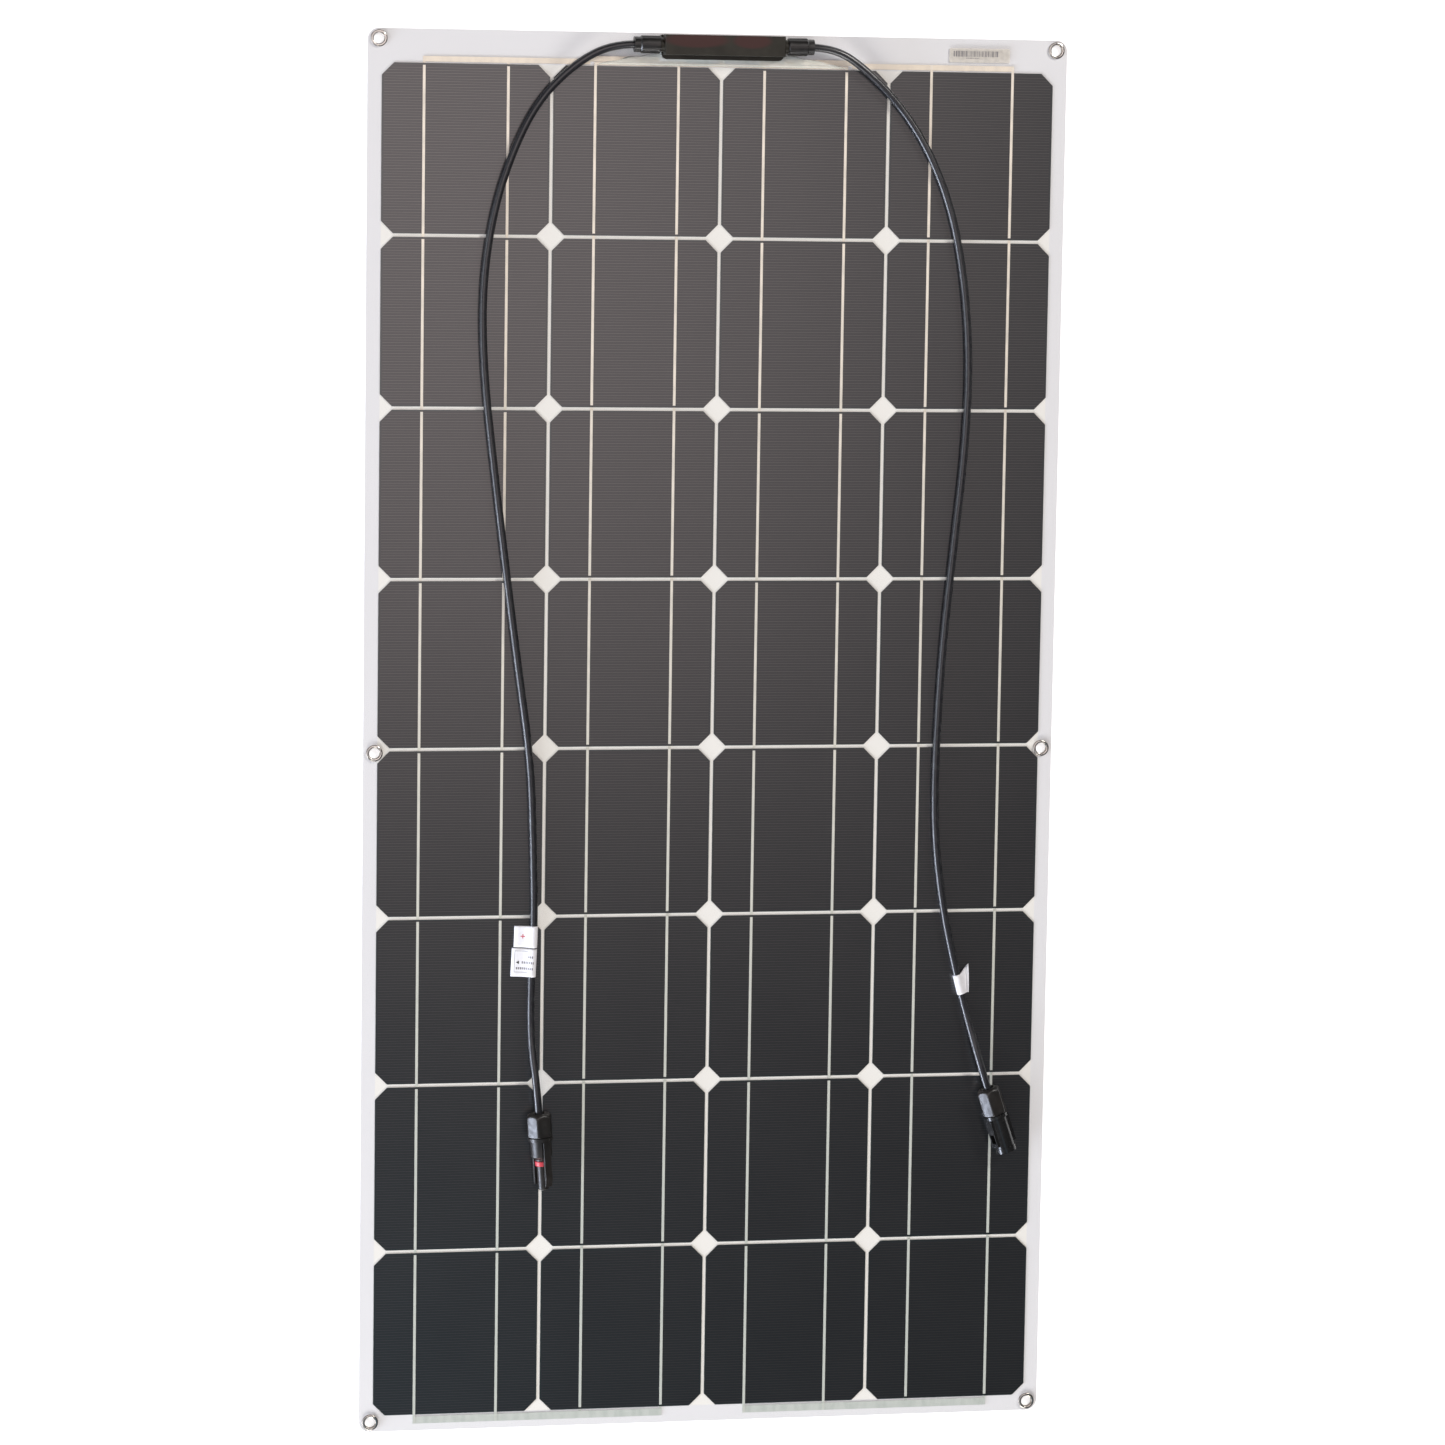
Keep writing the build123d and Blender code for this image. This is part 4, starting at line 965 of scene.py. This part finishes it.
def make_marks(name, wrap, patches, look):
    """Printed marks as thin raised patches; each is (run, run, around, around) in mm."""
    bm = bmesh.new()
    for run0, run1, around0, around1 in patches:
        arounds = spread(around0, around1, AROUND_STEP)
        surface_patch(bm, wrap, spread(run0, run1, RUN_STEP), arounds, INK_PROUD)
    made = make_object(name, bm, look)
    return follow_sheet(made)


def make_triangle(name, wrap, run, around, size, look):
    """A solid arrowhead, with its tip towards the flag's edge."""
    bm = bmesh.new()
    half = 0.55 * size
    corners = [(run, around), (run + half, around + size), (run - half, around + size)]
    bm.faces.new([bm.verts.new(wrap.place(*corner, INK_PROUD)) for corner in corners])
    made = make_object(name, bm, look)
    return follow_sheet(made)


def dash_rows():
    """Three rows of plain dashes that end by the cable and start further out from row to row."""
    chance = random.Random(3)
    row_end = 17.0
    dash_length = 1.7
    gap = 0.6
    dashes = []
    for run, start in ((5.5, 13.1), (9.9, 8.0), (14.4, 3.8)):
        around = start
        while around < row_end:
            width = chance.uniform(0.7, 1.1)
            dashes.append((run, run + dash_length, around, around + width))
            around += width + gap
    return dashes


def make_labels(left, right, looks):
    """The two flag labels on the left cable and the small one on the right cable."""
    left_length = line_length(left)
    plus = Wrap(left, middle=left_length * 0.8347, length=16.5, reach=-14.6)
    arrow = Wrap(left, middle=left_length * 0.8575, length=21.5, reach=-15.9)
    minus = Wrap(right, middle=line_length(right) * 0.8925, length=15.5, reach=8.0,
                 lift=2.6, skew=5.0, point=6.5)
    cross = [(7.65, 8.4, 4.9, 8.3), (6.3, 9.7, 6.25, 7.0)]
    border = [(2.0, 2.3, 2.3, 13.0), (18.0, 18.3, 2.3, 13.0), (2.0, 18.3, 2.3, 2.6)]
    left_pieces = [
        make_label("label_plus", "cable_label_plus", plus, looks["label"]),
        make_label("label_arrow", "cable_label_arrow", arrow, looks["label"]),
    ]
    right_pieces = [make_label("label_minus", "cable_label_minus", minus, looks["label"])]
    left_pieces += [
        make_marks("plus_mark", plus, cross, looks["red_ink"]),
        make_marks("arrow_border", arrow, border, looks["grey_ink"]),
        make_marks("arrow_dashes", arrow, dash_rows(), looks["grey_ink"]),
        make_triangle("arrow_mark", arrow, 10.8, 3.6, 2.4, looks["ink"]),
    ]
    return left_pieces, right_pieces


def make_sticker(looks):
    """Serial sticker: a half-clear film with a row of plain bars on it and a finer row under them.

    A row is its left, right, bottom and top margins in mm, top measured from below, then its bars'
    widths and gaps to draw from.
    """
    low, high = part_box("serial_sticker")
    middle = (low + high) / 2
    outline = rounded_rectangle(high.x - middle.x, high.y - middle.y, STICKER_CORNER)
    film_top = SHEET_TOP + STICKER_THICKNESS
    bars_top = film_top + STICKER_THICKNESS
    bm = bmesh.new()
    add_prism(bm, [(middle.x + x, middle.y + y) for x, y in outline], SHEET_TOP, film_top)
    film = make_object("sticker_film", bm, looks["sticker"])
    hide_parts("serial_sticker")
    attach(film, "sheet_upper")
    chance = random.Random(11)
    bm = bmesh.new()
    bar_row = (3.2, 9.5, 4.4, 8.6, (0.25, 0.4, 0.6, 0.9), (0.3, 0.45, 0.8))
    fine_row = (13.0, 24.0, 2.9, 3.6, (0.3, 0.5), (0.3, 0.4))
    for left, right, bottom, top, widths, gaps in (bar_row, fine_row):
        x = low.x + left * MM
        while x < high.x - right * MM:
            width = chance.choice(widths) * MM
            add_block(bm, x, x + width, low.y + bottom * MM, low.y + top * MM, film_top, bars_top)
            x += width + chance.choice(gaps) * MM
    bars = make_object("sticker_bars", bm, looks["grey_ink"])
    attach(bars, "sheet_upper")


# ---- cables and connectors
def make_cables(looks):
    """The two cables, and the lines that they follow."""
    left = cord_line(LEFT_ROUTE, PLUG_REAR, PLUG_HEADING)
    right = cord_line(RIGHT_ROUTE, SOCKET_REAR, SOCKET_HEADING)
    cables = []
    for name, points in (("left", left), ("right", right)):
        cable = tube(f"lead_{name}", points, CABLE_RADIUS, looks["jacket"])
        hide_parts(f"cable_{name}_upper", f"cable_{name}_lower")
        cables.append(follow_sheet(cable))
    return left, right, cables


def connector_frame(rear, heading, roll):
    """From a connector's own axes, X from its nut to its tip, to the sheet's."""
    turn = Matrix.Rotation(heading, 4, "Z") @ Matrix.Rotation(CONNECTOR_PITCH, 4, "Y")
    return Matrix.Translation(rear) @ turn @ Matrix.Rotation(roll, 4, "X")


def hexagon_reach(angle, flat_radius):
    """Distance from a hexagon's middle to its side, with a vertex on the first axis."""
    from_vertex = angle % (pi / 3)
    return flat_radius / cos(from_vertex - pi / 6)


NUT_FLAT_INSET = 1.1 * MM     # from a cap's round outline in to the middle of its flats
NUT_ROUNDING = 4.2 * MM
NUT_ROUNDING_STEPS = 8
NUT_SIDES = 96
NUT_SHARPNESS = 60            # the higher, the crisper the edges between the flats
NUT_ROUND_WITHIN = 6.5 * MM   # the funnel inside this radius is round
NUT_BORE = 7.6 * MM
NUT_BORE_DEPTH = 3.0 * MM
CABLE_BORE = 3.3 * MM


def nut_profile(length, radius):
    """A cap as (run, radius) points: up the funnel, over the rounding, along, and into the bore."""
    profile = [(2.2 * MM, CABLE_BORE), (0.9 * MM, 4.2 * MM), (0.15 * MM, 5.0 * MM), (0.0, 5.5 * MM)]
    for step in range(1, NUT_ROUNDING_STEPS + 1):
        turn = pi / 2 * step / NUT_ROUNDING_STEPS
        reach = radius - NUT_ROUNDING + NUT_ROUNDING * sin(turn)
        profile.append((NUT_ROUNDING * (1 - cos(turn)), reach))
    profile += [(length * 0.55, radius), (length - 0.9 * MM, radius)]
    profile += [(length - 0.25 * MM, radius - 0.2 * MM), (length, radius - 0.9 * MM), (length, NUT_BORE)]
    return profile + [(length - NUT_BORE_DEPTH, NUT_BORE), (length - NUT_BORE_DEPTH, CABLE_BORE)]


def nut_reach(reach, angle, flat_radius):
    """The smaller of a round and a hexagonal outline's reach, with a soft change between them."""
    if reach <= NUT_ROUND_WITHIN:
        return reach
    side = hexagon_reach(angle, flat_radius)
    return 1 / (1 / reach ** NUT_SHARPNESS + 1 / side ** NUT_SHARPNESS) ** (1 / NUT_SHARPNESS)


def make_nut(name, node, frame_of, length, radius, look):
    """A hexagonal cap that is turned round at its rear, with a funnel for the cable."""
    bm = bmesh.new()
    rings = []
    for x, round_reach in nut_profile(length, radius):
        ring = []
        for i in range(NUT_SIDES):
            angle = 2 * pi * i / NUT_SIDES
            reach = nut_reach(round_reach, angle, radius - NUT_FLAT_INSET)
            ring.append(bm.verts.new((x, reach * cos(angle), reach * sin(angle))))
        rings.append(ring)
    join_rings(bm, rings)
    bm.transform(frame_of)
    made = make_object(name, bm, look, smooth=True)
    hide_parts(node)
    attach(made, node)
    return made


def make_connectors(looks):
    """Both connectors' moulded pieces, with rounded edges, in plug and socket order."""
    plastic = looks["plastic"]
    plug_frame = connector_frame(PLUG_REAR, PLUG_HEADING, PLUG_ROLL + PLUG_NUT_TURN)
    socket_frame = connector_frame(SOCKET_REAR, SOCKET_HEADING, SOCKET_ROLL + SOCKET_NUT_TURN)
    plug = [make_nut("plug_cap", "plug_nut", plug_frame, 18.0 * MM, 9.9 * MM, plastic),
            refined("plug_housing", plastic, "sheet_lower", 0.25 * MM),
            refined("latch_finger_upper", plastic, "latch_finger_upper", 0.25 * MM),
            refined("latch_finger_lower", plastic, "latch_finger_lower", 0.25 * MM)]
    socket = [make_nut("socket_cap", "socket_nut", socket_frame, 21.0 * MM, 9.6 * MM, plastic),
              refined("socket_housing", looks["gloss"], "sheet_lower", 0.3 * MM)]
    return plug, socket


# ---- CAD nodes that stay
def dress_nodes(looks):
    """Materials for the nodes whose CAD shape is also the visible one."""
    dress = {
        "top_bus_ribbons": "top_bus", "bottom_bus_ribbons": "bottom_bus", "bus_leads": "tinned_rigid",
        "eyelet_washers_upper": "stainless", "eyelet_washers_lower": "stainless",
        "box_gasket": "rubber", "box_potting": "potting", "terminal_plates": "tinned_rigid",
        "bypass_diodes": "diode", "gland_seals": "rubber", "cable_tails": "rubber",
        "plug_pin": "contact", "plug_ring_seal": "red",
        "socket_contact": "contact", "connector_seals": "rubber",
    }
    for node, look in dress.items():
        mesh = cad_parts[node].data
        mesh.materials.clear()
        mesh.materials.append(looks[look])


# ---- floor and lights
def make_floor():
    """A white floor bright enough to stay plain white in the eyelets' holes."""
    bm = bmesh.new()
    add_block(bm, -FLOOR_HALF, FLOOR_HALF, -FLOOR_HALF, FLOOR_HALF, FLOOR_BOTTOM, FLOOR_TOP)
    look = Look("floor", Base_Color=(0.93, 0.93, 0.93), Roughness=0.85)
    look.set(Emission_Color=(1.0, 1.0, 1.0), Emission_Strength=0.6)
    floor_piece = make_object("studio_floor", bm, look.material)


def add_light(name, place, target, width, height, power, colour):
    """A rectangular soft light that faces its target."""
    data = bpy.data.lights.new(name, "AREA")
    data.shape = "RECTANGLE"
    data.size = width
    data.size_y = height
    data.energy = power
    data.color = colour
    light = bpy.data.objects.new(name, data)
    light.location = place
    light.rotation_mode = "QUATERNION"
    light.rotation_quaternion = (Vector(target) - Vector(place)).to_track_quat("-Z", "Y")
    scene.collection.objects.link(light)


def make_world():
    """A faint cool glow on everything, behind which the camera sees plain pale grey."""
    world = bpy.data.worlds.new("world")
    world.use_nodes = True
    tree = world.node_tree
    glow = tree.nodes["Background"]
    glow.inputs["Color"].default_value = (0.80, 0.88, 1.0, 1.0)
    glow.inputs["Strength"].default_value = 0.06
    backdrop = tree.nodes.new("ShaderNodeBackground")
    backdrop.inputs["Color"].default_value = (0.78, 0.78, 0.78, 1.0)
    paths = tree.nodes.new("ShaderNodeLightPath")
    mix = tree.nodes.new("ShaderNodeMixShader")
    tree.links.new(paths.outputs["Is Camera Ray"], mix.inputs[0])
    tree.links.new(glow.outputs[0], mix.inputs[1])
    tree.links.new(backdrop.outputs[0], mix.inputs[2])
    tree.links.new(mix.outputs[0], tree.nodes["World Output"].inputs["Surface"])
    scene.world = world


def make_lights():
    """Cool light from the left, warm light from overhead and past the box, and a fill in front.

    The small sky patch tints the cells that are furthest from the box. No strong light stands low
    past the box or on the right, where it would be mirrored in the cells in views from the side.
    """
    add_light("left_window", (-3.0, -0.5, 1.6), (0, -0.1, 0), 3.6, 1.3, 44, (0.88, 0.93, 1.0))
    add_light("left_low", (-3.3, -1.8, 0.5), (0, -0.2, 0), 2.5, 1.0, 173, (0.76, 0.83, 1.0))
    add_light("ceiling", (-0.40, 1.12, 4.0), (-0.40, 1.12, 0), 2.8, 3.2, 43, (1.0, 0.88, 0.875))
    add_light("sky_patch", (-0.25, -1.85, 4.0), (-0.25, -1.85, 0), 1.2, 1.2, 1.7, (0.40, 0.75, 1.0))
    add_light("warm_key", (2.2, 2.2, 2.7), (0, 0, 0), 0.9, 0.9, 80, (1.0, 0.97, 0.94))
    add_light("low_fill", (-0.3, -3.3, 1.4), (0, -0.2, 0), 1.8, 1.2, 84, (1.0, 0.98, 0.96))


# ---- scene
make_camera()
looks = make_looks()
left_line, right_line, cables = make_cables(looks)
left_labels, right_labels = make_labels(left_line, right_line, looks)
plug_pieces, socket_pieces = make_connectors(looks)
make_sheet(looks)
make_eyelets(looks)
make_bead(looks)
make_box(looks)
make_sticker(looks)
dress_nodes(looks)
make_floor()
make_world()
make_lights()
